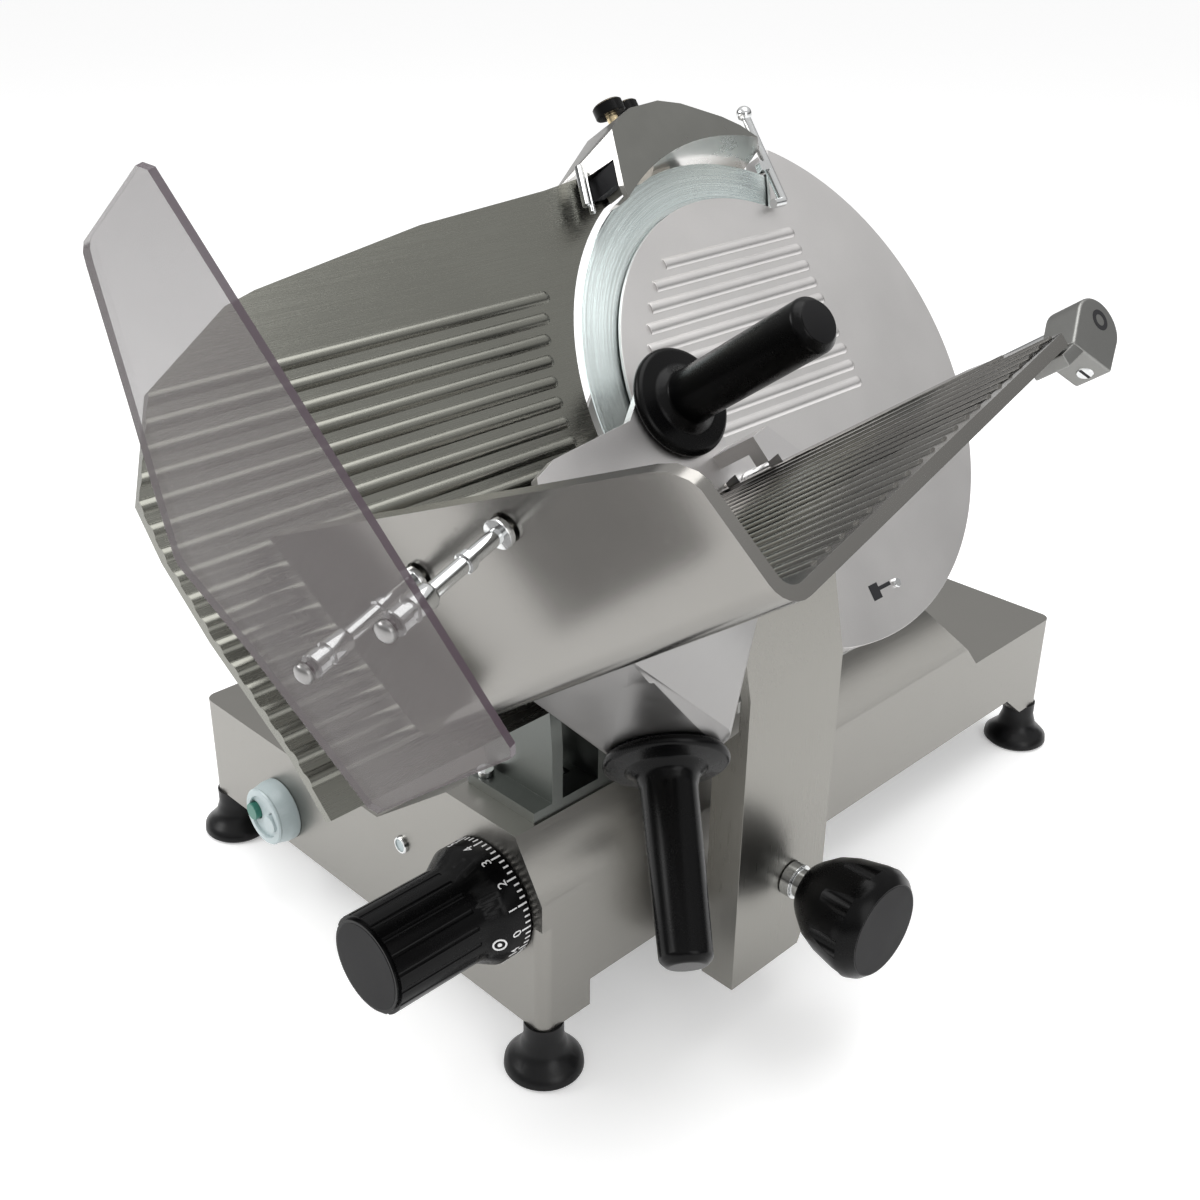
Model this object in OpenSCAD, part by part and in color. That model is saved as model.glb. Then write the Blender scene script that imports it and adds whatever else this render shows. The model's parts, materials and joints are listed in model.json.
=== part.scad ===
// Electric gravity-feed food slicer, sizes in millimetres.
// X points to the operator's right, Y away from the operator, Z up; the feet stand on Z = 0.
// on_plate() is the frame of the tilted blade: x along the travel, y up the plate, z towards the food.
// on_tray() turns it into the floor of the tray: x along the floor, y out of the floor.

/* [Base] */
// Width of the base casting
base_w = 350; // [346:1:352]
// Length of the base casting along the carriage travel
base_l = 543; // [539:1:547]
// Height of the lower rim of the casting above the bench
base_z = 35; // [34:0.5:36]
// Height of the low deck that the slices land on
deck_h = 110; // [108:1:112]
// Height of the raised part that houses the motor
hump_h = 163; // [162:1:165]
// Wall thickness of the casting
wall = 6; // [5:0.5:6.5]
// Height of the lower edge of the right side, where the carriage foot passes
window_h = 54; // [52:1:56]
// Diameter of a foot on the bench
foot_d = 48; // [44:1:52]

/* [Blade] */
// Diameter of the blade
blade_d = 300; // [298:0.5:301]
// Lean of the blade from upright
tilt = 36; // [35.8:0.1:36.2]
// Blade centre to the right of the middle of the base
blade_x = 112; // [111.5:0.5:112.5]
// Blade centre behind the middle of the base
blade_y = -10; // [-12:1:-8]
// Height of the blade centre
blade_z = 350; // [349.5:0.5:351]
// Diameter of the removable cover plate
cover_d = 249; // [247:1:250]
// Outer diameter of the ring guard
ring_d = 336; // [332:1:336]

/* [Gauge plate] */
// Reach of the gauge plate in front of the blade centre
gauge_reach = 420; // [412:2:424]
// Height of the gauge plate above the blade centre, at the blade
gauge_top = 157; // [154:1:160]
// Drop of the lower edge below the blade centre
gauge_drop = 118; // [114:1:120]
// Distance between two ribs
rib_pitch = 11.75; // [11.55:0.05:11.95]
// Thickest slice that the dial sets
max_slice = 14; // [12:1:14]

/* [Tray] */
// Length of the tray floor along the travel
floor_l = 245; // [242:1:246]
// Depth of the tray, from the blade to its outer edge
tray_depth = 257; // [252:1:257]
// Valley of the tray in front of the blade centre
tray_reach = 334; // [333:1:335]
// Valley of the tray below the blade centre
tray_drop = 99.8; // [99.4:0.2:100.4]
// Rise of the floor away from the operator
floor_tilt = 12.5; // [12.3:0.1:12.7]
// Opening of the corner between floor and front wall beyond square
wall_splay = 3.5; // [3:0.5:4]
// Height of the front wall at the blade
wall_in_h = 118; // [114:1:120]
// Height of the front wall at its outer end
wall_out_h = 61; // [58:1:64]
// Thickness of the cast tray
tray_t = 6; // [5.5:0.5:6]

/* [Carriage] */
// Travel of the carriage, which sets where the rod buffers stand
travel = 270; // [250:5:270]
// Outer face of the carriage arm, right of the middle of the base
arm_x = 226; // [225.5:0.5:227]
// Width of the carriage arm
arm_w = 82; // [80:1:84]
// Diameter of the rod that the carriage runs on
rod_d = 18; // [16:1:20]

/* [Handles and knobs] */
// Diameter of a handle grip
grip_d = 31; // [29:1:32]
// Diameter of the finger disc of a handle
disc_d = 68; // [64:1:69]
// Length of the lower handle
handle_l = 105; // [101:1:108]
// Diameter of the thickness dial's numbered flange
dial_d = 72; // [68:1:74]
// Length of the thickness dial
dial_l = 88; // [84:1:90]
// Diameter of the carriage lock knob
lock_d = 69; // [66:1:70]

/* [Fits] */
// Radial clearance of a shaft that turns or slides in a bore
run_fit = 0.05; // [0.03:0.01:0.08]
// Gap between curved faces that move past each other
gap = 0.4; // [0.3:0.1:0.5]

/* [Hidden] */
$fn = 60;
// Overrun of a cut past the face that it opens
cut = 1;

// Colours as the photo shows them
ALUMINIUM = [0.72, 0.72, 0.70];
CAST = [0.62, 0.62, 0.60];
STEEL = [0.80, 0.82, 0.82];
BLACK = [0.04, 0.04, 0.045];
BRASS = [0.72, 0.56, 0.28];
CLEAR = [0.62, 0.56, 0.58, 0.4];
PALE = [0.70, 0.74, 0.75];
GREEN = [0.08, 0.20, 0.18];
STONE = [0.75, 0.72, 0.66];

// Base: edges of the raised part, and places on the walls
front_y = -base_l / 2;
back_y = base_l / 2;
right_x = base_w / 2;
ramp_x = 23.5;
hump_x = 94.4;
facet_x = 153.4;
facet_h = 127;
hump_back_y = 120;
hump_end_y = 165;
corner_r = 8;
pad_l = 38;
foot_inset = 10;
boss_w = 32;
boss_h = 28;
foot_neck_d = 24;
screw_r = 4;
rod_x = 149;
rod_z = 60;
rod_r = rod_d / 2;
steady_x = 160;
steady_z = 88;
steady_r = 5;
end_boss_l = 16;
buffer_l = 14;
dial_x = 131;
dial_z = 111;
shaft_in_r = 7;
switch_x = -85;
switch_z = 61;
button_pitch = 21;
button_r = 6;
lamp_x = 50;
lamp_z = 103;
lamp_r = 4;
gland_x = -110;
gland_z = 72;
gland_r = 8;

// Blade and everything on its axis, as heights out of the blade plane
blade_r = blade_d / 2;
blade_t = 4;
cover_r = cover_d / 2;
cover_z = 1;
cover_t = 2.5;
ring_r = ring_d / 2;
ring_back = -18;
ring_from = -108;
ring_to = 62;
web_t = 5;
hub_r = 26;
shaft_r = 10;
head_r = 34;
head_back = -88;
bearing_r = 21;
bearing_w = 12;
case_back = -118;
case_r = 64;
case_wall = 6;
pulley_z = -112;
pulley_w = 14;
pulley_r = 50;
drive_r = 22;
drive_drop = 191.8;
belt_t = 3;
motor_r = 38;
motor_l = 85;
tie_r = 4;
knob_z = -152;

// Gauge plate and the parts that move with it
gauge_t = 6;
gauge_gap = 4;
rib_r = 5;
rib_rise = 1.6;
rib_first = 91;
gauge_ribs = 17;
cover_ribs = 10;
slide_p = -210;
slide_q = -86.8;
slide_r = 8;
slide_end = -106;
follower_z = -96;
follower_t = 6;
cam_r = 28.7;
cam_y = -225;
cam_l = 10;
cam_turn = 300;

// Carriage, from its foot to the tray
arm_y = -165;
arm_low = 36;
arm_fold = 236;
arm_lean = 12;
arm_flange = 24;
arm_t = 7;
block_y = -165;
block_l = 80;
foot_z = 30;
foot_t = 16;
foot_end_x = 219;
lock_y = -116;
lock_z = 94;
lock_l = 52;
lock_r = 7;
handle_at = [84.8, -80.5, 37.3];
handle_lean = 9.7;
handle_turn = 45.9;
handle_slim = 2;

// Tray and what it carries
tray_in = 8;
fillet_r = 8;
corner_cut = 21;
rim_cut = 66;
ridge_pitch = 10;
ridge_r = 2.6;
ridge_rise = 1;
guard_gap = 71;
guard_t = 5;
post_v = 68;
post_spots = [87, 156];
rod_s = 256;
rod_h = -8;
push_rod_r = 5;
knuckle_r = 9.8;
block_in = 238;
plate_in = 20;
plate_t = 6;
knuckle_w = 10;
collar_l = 26;
grip_s = 237;
grip_h = 56;
push_grip_l = 110;

// Sharpener
clear_r = 153;
stone_r = 15;
stone_q = 169;
stone_drop = 4;
button_a = [-50, 10];
button_b = [-18, -8];
head_a = 185.2;
head_b = 190.8;

// Directions of the blade frame, and points given in it, in machine coordinates
up_v = [-sin(tilt), 0, cos(tilt)];
out_v = [cos(tilt), 0, sin(tilt)];
function plate_point(p, q, n) = [blade_x, blade_y + p, blade_z] + q * up_v + n * out_v;
function turned(x, y, a) = [x * cos(a) - y * sin(a), x * sin(a) + y * cos(a)];
function tray_point(s, h, n) = let (v = turned(s, h, floor_tilt))
    plate_point(v[0] - tray_reach, v[1] - tray_drop, n);
function wall_point(x, v, n) = let (w = turned(x, v, wall_splay)) tray_point(w[0], w[1], n);

// The outermost points of the machine place its middle over the origin
min_x = -right_x + foot_inset - foot_d / 2;
max_x = tray_point(fillet_r, -tray_t, tray_depth)[0];
min_y = wall_point(-guard_gap - guard_t, 237, 0)[1];
max_y = back_y - foot_inset + foot_d / 2;
place = [-(min_x + max_x) / 2, -(min_y + max_y) / 2, 0];

module machine() translate(place) children();
module on_plate() machine() translate([blade_x, blade_y, blade_z]) rotate([0, 90 - tilt, 0])
    rotate([0, 0, 90]) children();
module on_tray() on_plate() translate([-tray_reach, -tray_drop, 0]) rotate([0, 0, floor_tilt]) children();
module on_wall() on_tray() rotate([0, 0, wall_splay]) children();
// A cylinder along Y that starts at y and runs away from the operator
module along_y(r, y, length) translate([0, y, 0]) rotate([-90, 0, 0]) cylinder(r = r, h = length);
// A cylinder along X that starts at x
module along_x(r, x, length) translate([x, 0, 0]) rotate([0, 90, 0]) cylinder(r = r, h = length);
// A profile in X and Z drawn out along Y
module prism_y(y0, y1) translate([0, y1, 0]) rotate([90, 0, 0]) linear_extrude(y1 - y0) children();
// A profile along the floor and out from the blade, hung below the floor
module floor_sheet(t) rotate([90, 0, 0]) linear_extrude(t) children();
// A profile up the wall and out from the blade, given a thickness towards the tray
module wall_sheet(x, t) translate([x, 0, 0]) rotate([90, 0, 90]) linear_extrude(t) children();
module round_rect(w, l, r) {
    square([w - 2 * r, l], center = true);
    square([w, l - 2 * r], center = true);
    for (sx = [-1, 1], sy = [-1, 1]) translate([sx * (w / 2 - r), sy * (l / 2 - r)]) circle(r);
}
module ring(r_out, r_in, h) difference() {
    cylinder(r = r_out, h = h);
    translate([0, 0, -cut]) cylinder(r = r_in, h = h + 2 * cut);
}
module at_corners() for (sx = [-1, 1], sy = [-1, 1])
    translate([sx * (right_x - foot_inset), sy * (back_y - foot_inset), 0]) children();
module at_buttons() for (s = [-1, 1]) translate([switch_x + s * button_pitch / 2, 0, switch_z]) children();

// Base casting: a shallow open box with the motor hump along its right side
module hump_profile(inset) polygon([
    [ramp_x + 1.4 * inset, deck_h - inset - cut], [hump_x + 0.4 * inset, hump_h - inset],
    [facet_x - 0.4 * inset, hump_h - inset], [right_x - inset, facet_h - 0.6 * inset],
    [right_x - inset, deck_h - inset - cut]
]);
module hump(inset) intersection() {
    prism_y(front_y + inset, hump_end_y) hump_profile(inset);
    translate([-right_x, 0, 0]) rotate([90, 0, 90]) linear_extrude(base_w) polygon([
        [front_y + inset, 0], [hump_end_y - inset, 0], [hump_end_y - inset, deck_h - inset],
        [hump_back_y - inset, hump_h], [front_y + inset, hump_h]
    ]);
}
module base_solid() {
    translate([0, 0, base_z]) linear_extrude(deck_h - base_z) round_rect(base_w, base_l, corner_r);
    hump(0);
}
module base() color(ALUMINIUM) machine() difference() {
    union() {
        difference() {
            base_solid();
            translate([0, 0, base_z - cut]) linear_extrude(deck_h - base_z - wall + cut)
                round_rect(base_w - 2 * wall, base_l - 2 * wall, corner_r / 2);
            hump(wall);
        }
        intersection() {
            for (sx = [-1, 1], sy = [-1, 1])
                translate([sx * (right_x - boss_w / 2), sy * (back_y - boss_w / 2), base_z])
                translate([-boss_w / 2, -boss_w / 2, 0]) cube([boss_w, boss_w, boss_h]);
            base_solid();
        }
        for (y = [front_y + wall - cut, back_y - wall - end_boss_l + cut]) {
            translate([rod_x, 0, rod_z]) along_y(rod_r + wall, y, end_boss_l);
            translate([steady_x - 8, y, steady_z - 2 * steady_r])
                cube([right_x - steady_x + 4, end_boss_l, 4 * steady_r]);
        }
    }
    translate([right_x - 2 * wall, front_y + pad_l, base_z - cut])
        cube([3 * wall, base_l - 2 * pad_l - 3 * wall, window_h - base_z + cut]);
    // Back end of the window slopes down to the rear pad
    translate([right_x + cut, 0, 0]) rotate([90, 0, -90]) linear_extrude(3 * wall) polygon([
        [-(back_y - pad_l - 3 * wall - cut), base_z - cut], [-(back_y - pad_l - 3 * wall - cut), window_h],
        [-(back_y - pad_l - 2 * wall), window_h], [-(back_y - pad_l + 2 * wall), base_z - cut]
    ]);
    at_corners() translate([0, 0, base_z - cut]) cylinder(r = screw_r, h = boss_h);
    translate([rod_x, 0, rod_z]) along_y(rod_r, front_y + wall, base_l - 2 * wall);
    translate([steady_x, 0, steady_z]) along_y(steady_r, front_y + wall, base_l - 2 * wall);
    translate([dial_x, 0, dial_z]) along_y(shaft_in_r + run_fit, front_y - cut, 3 * wall);
    at_buttons() along_y(button_r + gap, front_y - cut, 3 * wall);
    translate([lamp_x, 0, lamp_z]) along_y(lamp_r, front_y - cut, 3 * wall);
    translate([gland_x, 0, gland_z]) along_y(gland_r, back_y - 2 * wall, 3 * wall);
    // Opening for the belt, inside the foot of the blade support
    on_belt() translate([-drive_r - 12, 0, case_back + 1])
        cube([2 * drive_r + 24, drive_drop, head_back - case_back - 7]);
    // Slot for the follower of the gauge, inside the foot of the gauge post
    in_plate() translate([slide_p - 8, slide_q - 130, follower_z - max_slice - 3])
        cube([16, 130, max_slice + follower_t + 6]);
    support_bolt_spots() translate([0, 0, hump_h - wall - cut]) cylinder(r = 3, h = wall + 2 * cut);
}
module in_plate() translate([blade_x, blade_y, blade_z]) rotate([0, 90 - tilt, 0]) rotate([0, 0, 90])
    children();
module on_belt() in_plate() translate([0, -drive_drop, 0]) children();
module bottom_cover() color(CAST) machine() difference() {
    translate([-right_x + wall + gap, front_y + wall + gap, base_z])
        cube([rod_x - 4 * rod_r + right_x - wall, base_l - 2 * wall - 2 * gap, 2]);
    for (sy = [-1, 1]) translate([-right_x + wall, sy * (back_y - wall - boss_w / 2 + 2), base_z])
        cube([2 * boss_w, boss_w, 10], center = true);
}
module feet() color(BLACK) machine() at_corners() rotate_extrude() polygon([
    [0, 0], [foot_d / 2 - 2, 0], [foot_d / 2, 2], [foot_d / 2 - 0.5, 6],
    [foot_neck_d / 2 + 3, base_z * 0.42],
    [foot_neck_d / 2, base_z * 0.7], [foot_neck_d / 2, base_z], [screw_r, base_z], [screw_r, 8], [0, 8]
]);
module foot_screws() color(STEEL) machine() at_corners() translate([0, 0, 8])
    cylinder(r = screw_r, h = base_z + boss_h - 10);
module guide_rod() color(STEEL) machine() translate([rod_x, 0, rod_z])
    along_y(rod_r, front_y + wall, base_l - 2 * wall);
module steady_rod() color(STEEL) machine() translate([steady_x, 0, steady_z])
    along_y(steady_r, front_y + wall, base_l - 2 * wall);
module rod_buffers() color(BLACK) machine()
    for (y = [block_y - buffer_l - 1, block_y + block_l + travel + 1])
    translate([rod_x, y + buffer_l, rod_z]) rotate([90, 0, 0]) ring(rod_r + 5, rod_r, buffer_l);
module cable_gland() color(BLACK) machine() translate([gland_x, 0, gland_z]) difference() {
    union() {
        along_y(gland_r, back_y - wall - 6, wall + 14);
        along_y(gland_r + 4, back_y, 5);
        along_y(gland_r + 4, back_y - wall - 5, 5);
    }
    along_y(4, back_y - wall - 6 - cut, wall + 20);
}

// Switch: a stepped round boot with two round buttons
module switch_body() color(PALE) machine() difference() {
    translate([switch_x, front_y, switch_z]) rotate([90, 0, 0]) {
        cylinder(r = 22, h = 6);
        translate([0, 0, 6]) cylinder(r1 = 22, r2 = 20, h = 8);
    }
    at_buttons() along_y(button_r + gap, front_y - 20, 24);
}
module push_button(side, colour) color(colour) machine()
    translate([switch_x + side * button_pitch / 2, 0, switch_z]) {
    along_y(button_r, front_y - 18, 22 + wall);
    along_y(button_r + 2, front_y + wall + 3.5, 3);
}
module start_button() push_button(-1, GREEN);
module stop_button() push_button(1, PALE);
module pilot_lamp() color(PALE) machine() translate([lamp_x, 0, lamp_z]) {
    along_y(lamp_r, front_y - 1, wall + 3);
    along_y(lamp_r + 1.5, front_y - 1.5, 1.5);
}

// Thickness dial: a numbered flange and a fluted grip on a shaft with a snail cam
module dial() color(BLACK) machine() translate([dial_x, 0, dial_z]) difference() {
    union() {
        along_y(dial_d / 2, front_y - 15, 14.5);
        translate([0, front_y - 15, 0]) rotate([90, 0, 0])
            cylinder(r1 = dial_d / 2, r2 = dial_d / 2 - 7, h = 12);
        along_y(dial_d / 2 - 7, front_y - dial_l + 2, dial_l - 20);
        along_y(dial_d / 2 - 9, front_y - dial_l, 3);
    }
    for (a = [0:20:359]) rotate([0, a, 0]) translate([dial_d / 2 - 5.6, 0, 0])
        along_y(2, front_y - dial_l - cut, dial_l - 30);
    along_y(shaft_in_r, front_y - 40, 41);
}
function snail(a) = cam_r - (max_slice + 0.5) * a / cam_turn;
module dial_shaft() color(STEEL) machine() translate([dial_x, 0, dial_z]) {
    along_y(shaft_in_r, front_y - 40, cam_y - front_y + 40 + cut);
    along_y(shaft_in_r + 4, front_y + wall + gap, 6);
    translate([0, cam_y + cam_l, 0]) rotate([90, 0, 0]) linear_extrude(cam_l) polygon([
        for (a = [-5:5:cam_turn]) let (r = snail(max(a, 0)), d = tilt - a) [r * cos(d), r * sin(d)]
    ]);
}

// Gauge plate: ribbed, hollow round the blade, on a bracket that slides out of the gauge post
module gauge_outline() difference() {
    polygon([
        [-gauge_reach + 24, -gauge_drop], [-gauge_reach + 20, -gauge_drop + 34],
        [-gauge_reach + 7, -23], [-gauge_reach + 1, 18],
        [-gauge_reach, 46], [-gauge_reach + 26, gauge_top * 0.6], [-gauge_reach + 81, gauge_top * 0.8],
        [-gauge_reach + 100, gauge_top * 0.83], [-209, gauge_top * 0.93], [-115, gauge_top * 0.965],
        [-67, gauge_top], [-40, gauge_top], [-40, -gauge_drop]
    ]);
    circle(blade_r + gauge_gap);
}
module rib(x0, x1, y, top) translate([x0, y, top - rib_r]) {
    rotate([0, 90, 0]) cylinder(r = rib_r, h = x1 - x0, $fn = 24);
    translate([x1 - x0, 0, 0]) sphere(rib_r, $fn = 24);
}
module gauge_plate() color(ALUMINIUM) on_plate() difference() {
    intersection() {
        union() {
            translate([0, 0, -gauge_t])
                cube([2 * gauge_reach, 2 * gauge_reach, 2 * gauge_t - 2], center = true);
            for (i = [0:gauge_ribs - 1]) let (y = rib_first - i * rib_pitch)
                rib(-gauge_reach - 20, -sqrt(pow(blade_r + 24, 2) - y * y), y, rib_rise - 1);
        }
        translate([0, 0, -gauge_t]) linear_extrude(3 * gauge_t) gauge_outline();
    }
    gauge_bolt_spots() translate([0, 0, -gauge_t - cut]) cylinder(r = 3, h = 3.5 + cut);
}
module gauge_bolt_spots() for (p = [slide_p - 38, slide_p + 38], q = [slide_q + 34, slide_q + 66])
    translate([p, q, 0]) children();
module gauge_slide() color(CAST) on_plate() difference() {
    union() {
        translate([slide_p - 48, slide_q + 24, -gauge_t - 10]) cube([96, 52, 10]);
        translate([slide_p - 20, slide_q - 16, -gauge_t - 10]) cube([40, 60, 10]);
    }
    translate([slide_p, slide_q, -gauge_t - 10 - cut]) cylinder(r = slide_r, h = 8 + cut);
    gauge_bolt_spots() translate([0, 0, -gauge_t - 10 - cut]) cylinder(r = 3, h = 10 + 2 * cut);
}
module gauge_bolts() color(STEEL) on_plate() gauge_bolt_spots() {
    translate([0, 0, -gauge_t - 10]) cylinder(r = 3, h = 13);
    translate([0, 0, -gauge_t - 14]) cylinder(r = 5, h = 4);
}
module gauge_rod() color(STEEL) on_plate() translate([slide_p, slide_q, slide_end])
    cylinder(r = slide_r, h = -gauge_t - 2 - slide_end);
module gauge_follower() color(STEEL) on_plate() difference() {
    union() {
        translate([slide_p, slide_q, follower_z]) cylinder(r = slide_r + 5, h = follower_t);
        translate([slide_p - 6, slide_q - 125, follower_z]) cube([12, 125, follower_t]);
    }
    translate([slide_p, slide_q, follower_z - cut]) cylinder(r = slide_r, h = follower_t + 2 * cut);
}
module gauge_post() color(CAST) machine() difference() {
    union() {
        translate([96, blade_y + slide_p - 36, hump_h]) cube([56, 72, 7]);
        for (s = [-1, 1]) translate([0, blade_y + slide_p + s * 18, 0]) prism_y(-4, 4) polygon([
            [98, hump_h], [152, hump_h], [152, 205], [150, 228], [134, 250], [108, 246], [88, 226]
        ]);
        in_plate() translate([slide_p, slide_q, -84]) cylinder(r = slide_r + 7, h = 45);
    }
    in_plate() translate([slide_p, slide_q, -90]) cylinder(r = slide_r + run_fit, h = 60);
    in_plate() translate([slide_p - 8, slide_q - 130, follower_z - max_slice - 3])
        cube([16, 150, max_slice + follower_t + 6]);
    support_bolt_spots() translate([0, 0, hump_h - cut]) cylinder(r = 3, h = 30);
}

// Blade support: a bored head over the hump, a belt case that leans with the blade, a foot
case_foot_p = 75;
module case_outline(r, half) {
    circle(r);
    translate([-half, -drive_drop]) square([2 * half, drive_drop]);
}
module hump_clear() machine() translate([-base_w, -base_l, 0]) cube([2 * base_w, 2 * base_l, hump_h]);
module blade_support() color(CAST) difference() {
    union() {
        on_plate() difference() {
            union() {
                cylinder_from(head_r, head_back, ring_back);
                translate([0, 0, case_back]) linear_extrude(head_back - case_back)
                    case_outline(case_r, case_r);
                translate([-20, 0, -30]) cube([40, 176, -ring_back - 8 + 20]);
            }
            translate([0, 0, case_back - cut]) linear_extrude(head_back - case_back - case_wall + cut)
                case_outline(case_r - case_wall, case_r - case_wall);
            translate([-30, -head_r, ring_back]) cube([60, 3 * head_r + 120, 60]);
            for (z = [ring_back - bearing_w, head_back]) translate([0, 0, z - 0.01])
                cylinder(r = bearing_r, h = bearing_w + 0.02);
            translate([0, 0, head_back - case_wall - cut]) cylinder(r = bearing_r - 3, h = 100);
        }
        machine() difference() {
            translate([96, blade_y - case_foot_p, hump_h]) cube([58, 2 * case_foot_p, 8]);
            in_plate() translate([0, 0, case_back - 30])
                linear_extrude(head_back - case_back - case_wall + 30)
                case_outline(case_r - case_wall, case_r - case_wall);
            in_plate() translate([0, 0, case_back - 60]) linear_extrude(60) case_outline(case_r, case_r);
        }
    }
    hump_clear();
    machine() support_bolt_spots() translate([0, 0, hump_h - cut]) cylinder(r = 3, h = 60);
    machine() translate([154, -base_l, 0]) cube([base_w, 2 * base_l, hump_h + 30]);
}
module cylinder_from(r, z0, z1) translate([0, 0, z0]) cylinder(r = r, h = z1 - z0);
module support_bolt_spots() {
    for (x = [104, 146], s = [-1, 1]) translate([x, blade_y + s * 70, 0]) children();
    for (s = [-1, 1]) translate([104, blade_y + slide_p + s * 29.5, 0]) children();
}
module support_bolts() color(STEEL) machine() {
    for (x = [104, 146], s = [-1, 1]) translate([x, blade_y + s * 70, hump_h]) support_bolt(8);
    for (s = [-1, 1]) translate([104, blade_y + slide_p + s * 29.5, hump_h]) support_bolt(7);
}
module support_bolt(t) {
    translate([0, 0, -wall - 2]) cylinder(r = 3, h = wall + 2 + t);
    translate([0, 0, t]) cylinder(r = 5, h = 4);
}
module belt_cover() color(CAST) difference() {
    on_plate() translate([0, 0, case_back - 5]) difference() {
        linear_extrude(5) case_outline(case_r, case_r);
        translate([0, 0, -cut]) cylinder(r = tie_r + 3, h = 5 + 2 * cut);
    }
    hump_clear();
}
module spindle_bearings() color(STEEL) on_plate() for (z = [ring_back - bearing_w, head_back])
    translate([0, 0, z])
    ring(bearing_r, shaft_r + run_fit, bearing_w);
module blade_spindle() color(STEEL) on_plate() difference() {
    union() {
        cylinder_from(shaft_r, pulley_z - 3, -blade_t);
        cylinder_from(shaft_r + 4, ring_back, -blade_t - 4);
        cylinder_from(hub_r, -blade_t - 7, -blade_t);
    }
    cylinder_from(tie_r + gap, pulley_z - 4, 1);
    blade_screw_spots() cylinder_from(3, -blade_t - 8, 1);
}
module blade_screw_spots() for (a = [45:90:359]) rotate([0, 0, a]) translate([18, 0, 0]) children();
module blade_pulley() color(STEEL) on_plate() translate([0, 0, pulley_z]) difference() {
    rotate_extrude() polygon([
        [shaft_r, 0], [pulley_r, 0], [pulley_r, pulley_w], [pulley_r - 5, pulley_w],
        [pulley_r - 5, pulley_w - 5],
        [shaft_r + 7, pulley_w - 5], [shaft_r + 7, pulley_w], [shaft_r, pulley_w]
    ]);
    for (a = [0:60:359]) rotate([0, 0, a]) translate([30, 0, -cut])
        cylinder(r = 8, h = pulley_w + 2 * cut);
}
module blade() color(STEEL) on_plate() difference() {
    rotate_extrude($fn = 120) polygon([
        [0, -blade_t], [blade_r - 14, -blade_t], [blade_r - 0.6, -0.9], [blade_r, -0.45],
        [blade_r - 0.6, 0],
        [cover_r + 1, -0.7], [cover_r - 6, -2.2], [cover_r - 12, -2.2], [cover_r - 18, 0], [0, 0]
    ]);
    cylinder_from(tie_r + gap, -blade_t - cut, cut);
    blade_screw_spots() cylinder_from(3, -blade_t - cut, cut);
    blade_screw_spots() translate([0, 0, -2]) cylinder(r1 = 3, r2 = 5.5, h = 2.5);
}
module blade_screws() color(STEEL) on_plate() blade_screw_spots() {
    cylinder_from(3, -blade_t - 7, -2);
    translate([0, 0, -2]) cylinder(r1 = 3, r2 = 5, h = 2);
}
module belt_outline(grow) {
    side = asin((pulley_r - drive_r) / drive_drop);
    circle(pulley_r + grow);
    translate([0, -drive_drop]) circle(drive_r + grow);
    polygon([for (s = [-1, 1], e = [0, 1]) let (top = (s < 0) ? e : 1 - e)
        top * [s * (pulley_r + grow) * cos(side), -(pulley_r + grow) * sin(side)]
        + (1 - top) * [s * (drive_r + grow) * cos(side), -drive_drop - (drive_r + grow) * sin(side)]]);
}
module drive_belt() color(BLACK) on_plate() translate([0, 0, pulley_z + 2]) difference() {
    linear_extrude(pulley_w - 4) belt_outline(belt_t + gap);
    translate([0, 0, -cut]) linear_extrude(pulley_w + cut) belt_outline(gap);
}
// Motor: a round can under the ramp of the hump, hung from the roof by its bracket
module motor() color(CAST) difference() {
    on_plate() translate([0, -drive_drop, case_back - 4]) difference() {
        union() {
            translate([0, 0, -motor_l]) cylinder(r = motor_r, h = motor_l - 5);
            translate([-36, -29, -5]) cube([72, 90, 5]);
            translate([0, 0, -motor_l - 6]) cylinder(r = motor_r - 8, h = 6);
        }
        translate([0, 0, -motor_l - 7]) cylinder(r = 6 + run_fit, h = motor_l + 8);
    }
    // Its bracket ends at the inside of the hump
    machine() prism_y(-base_l, base_l) polygon([
        [ramp_x - base_w, deck_h - wall], [ramp_x + 1.4 * wall, deck_h - wall],
        [hump_x + 0.4 * wall, hump_h - wall],
        [base_w, hump_h - wall], [base_w, base_w], [ramp_x - base_w, base_w]
    ]);
}
module motor_shaft() color(STEEL) on_plate() translate([0, -drive_drop, 0])
    cylinder_from(6, case_back - motor_l, pulley_z + pulley_w + 2);
module motor_pulley() color(STEEL) on_plate() translate([0, -drive_drop, pulley_z])
    ring(drive_r, 6, pulley_w);

// Ring guard round the side of the blade that doesn't cut, joined to the head by a web
module sector(r, a0, a1)
    polygon(concat([[0, 0]], [for (i = [0:8]) let (a = a0 + (a1 - a0) * i / 8) r * [cos(a), sin(a)]]));
module ring_guard() color(CAST) on_plate() difference() {
    intersection() {
        union() {
            translate([0, 0, ring_back]) ring(ring_r, blade_r + 1.5, cover_z - ring_back);
            translate([0, 0, ring_back]) cylinder(r = blade_r + 2, h = web_t);
        }
        union() {
            translate([0, 0, ring_back - cut]) linear_extrude(40) sector(2 * ring_r, ring_from, ring_to);
            cylinder_from(head_r, ring_back, ring_back + web_t);
        }
    }
    cylinder_from(shaft_r + 6, ring_back - cut, 20);
    for (a = [-80:32:50]) rotate([0, 0, a]) translate([96, 0, ring_back - cut])
        cylinder(r = 20, h = web_t + 2 * cut);
}
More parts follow.
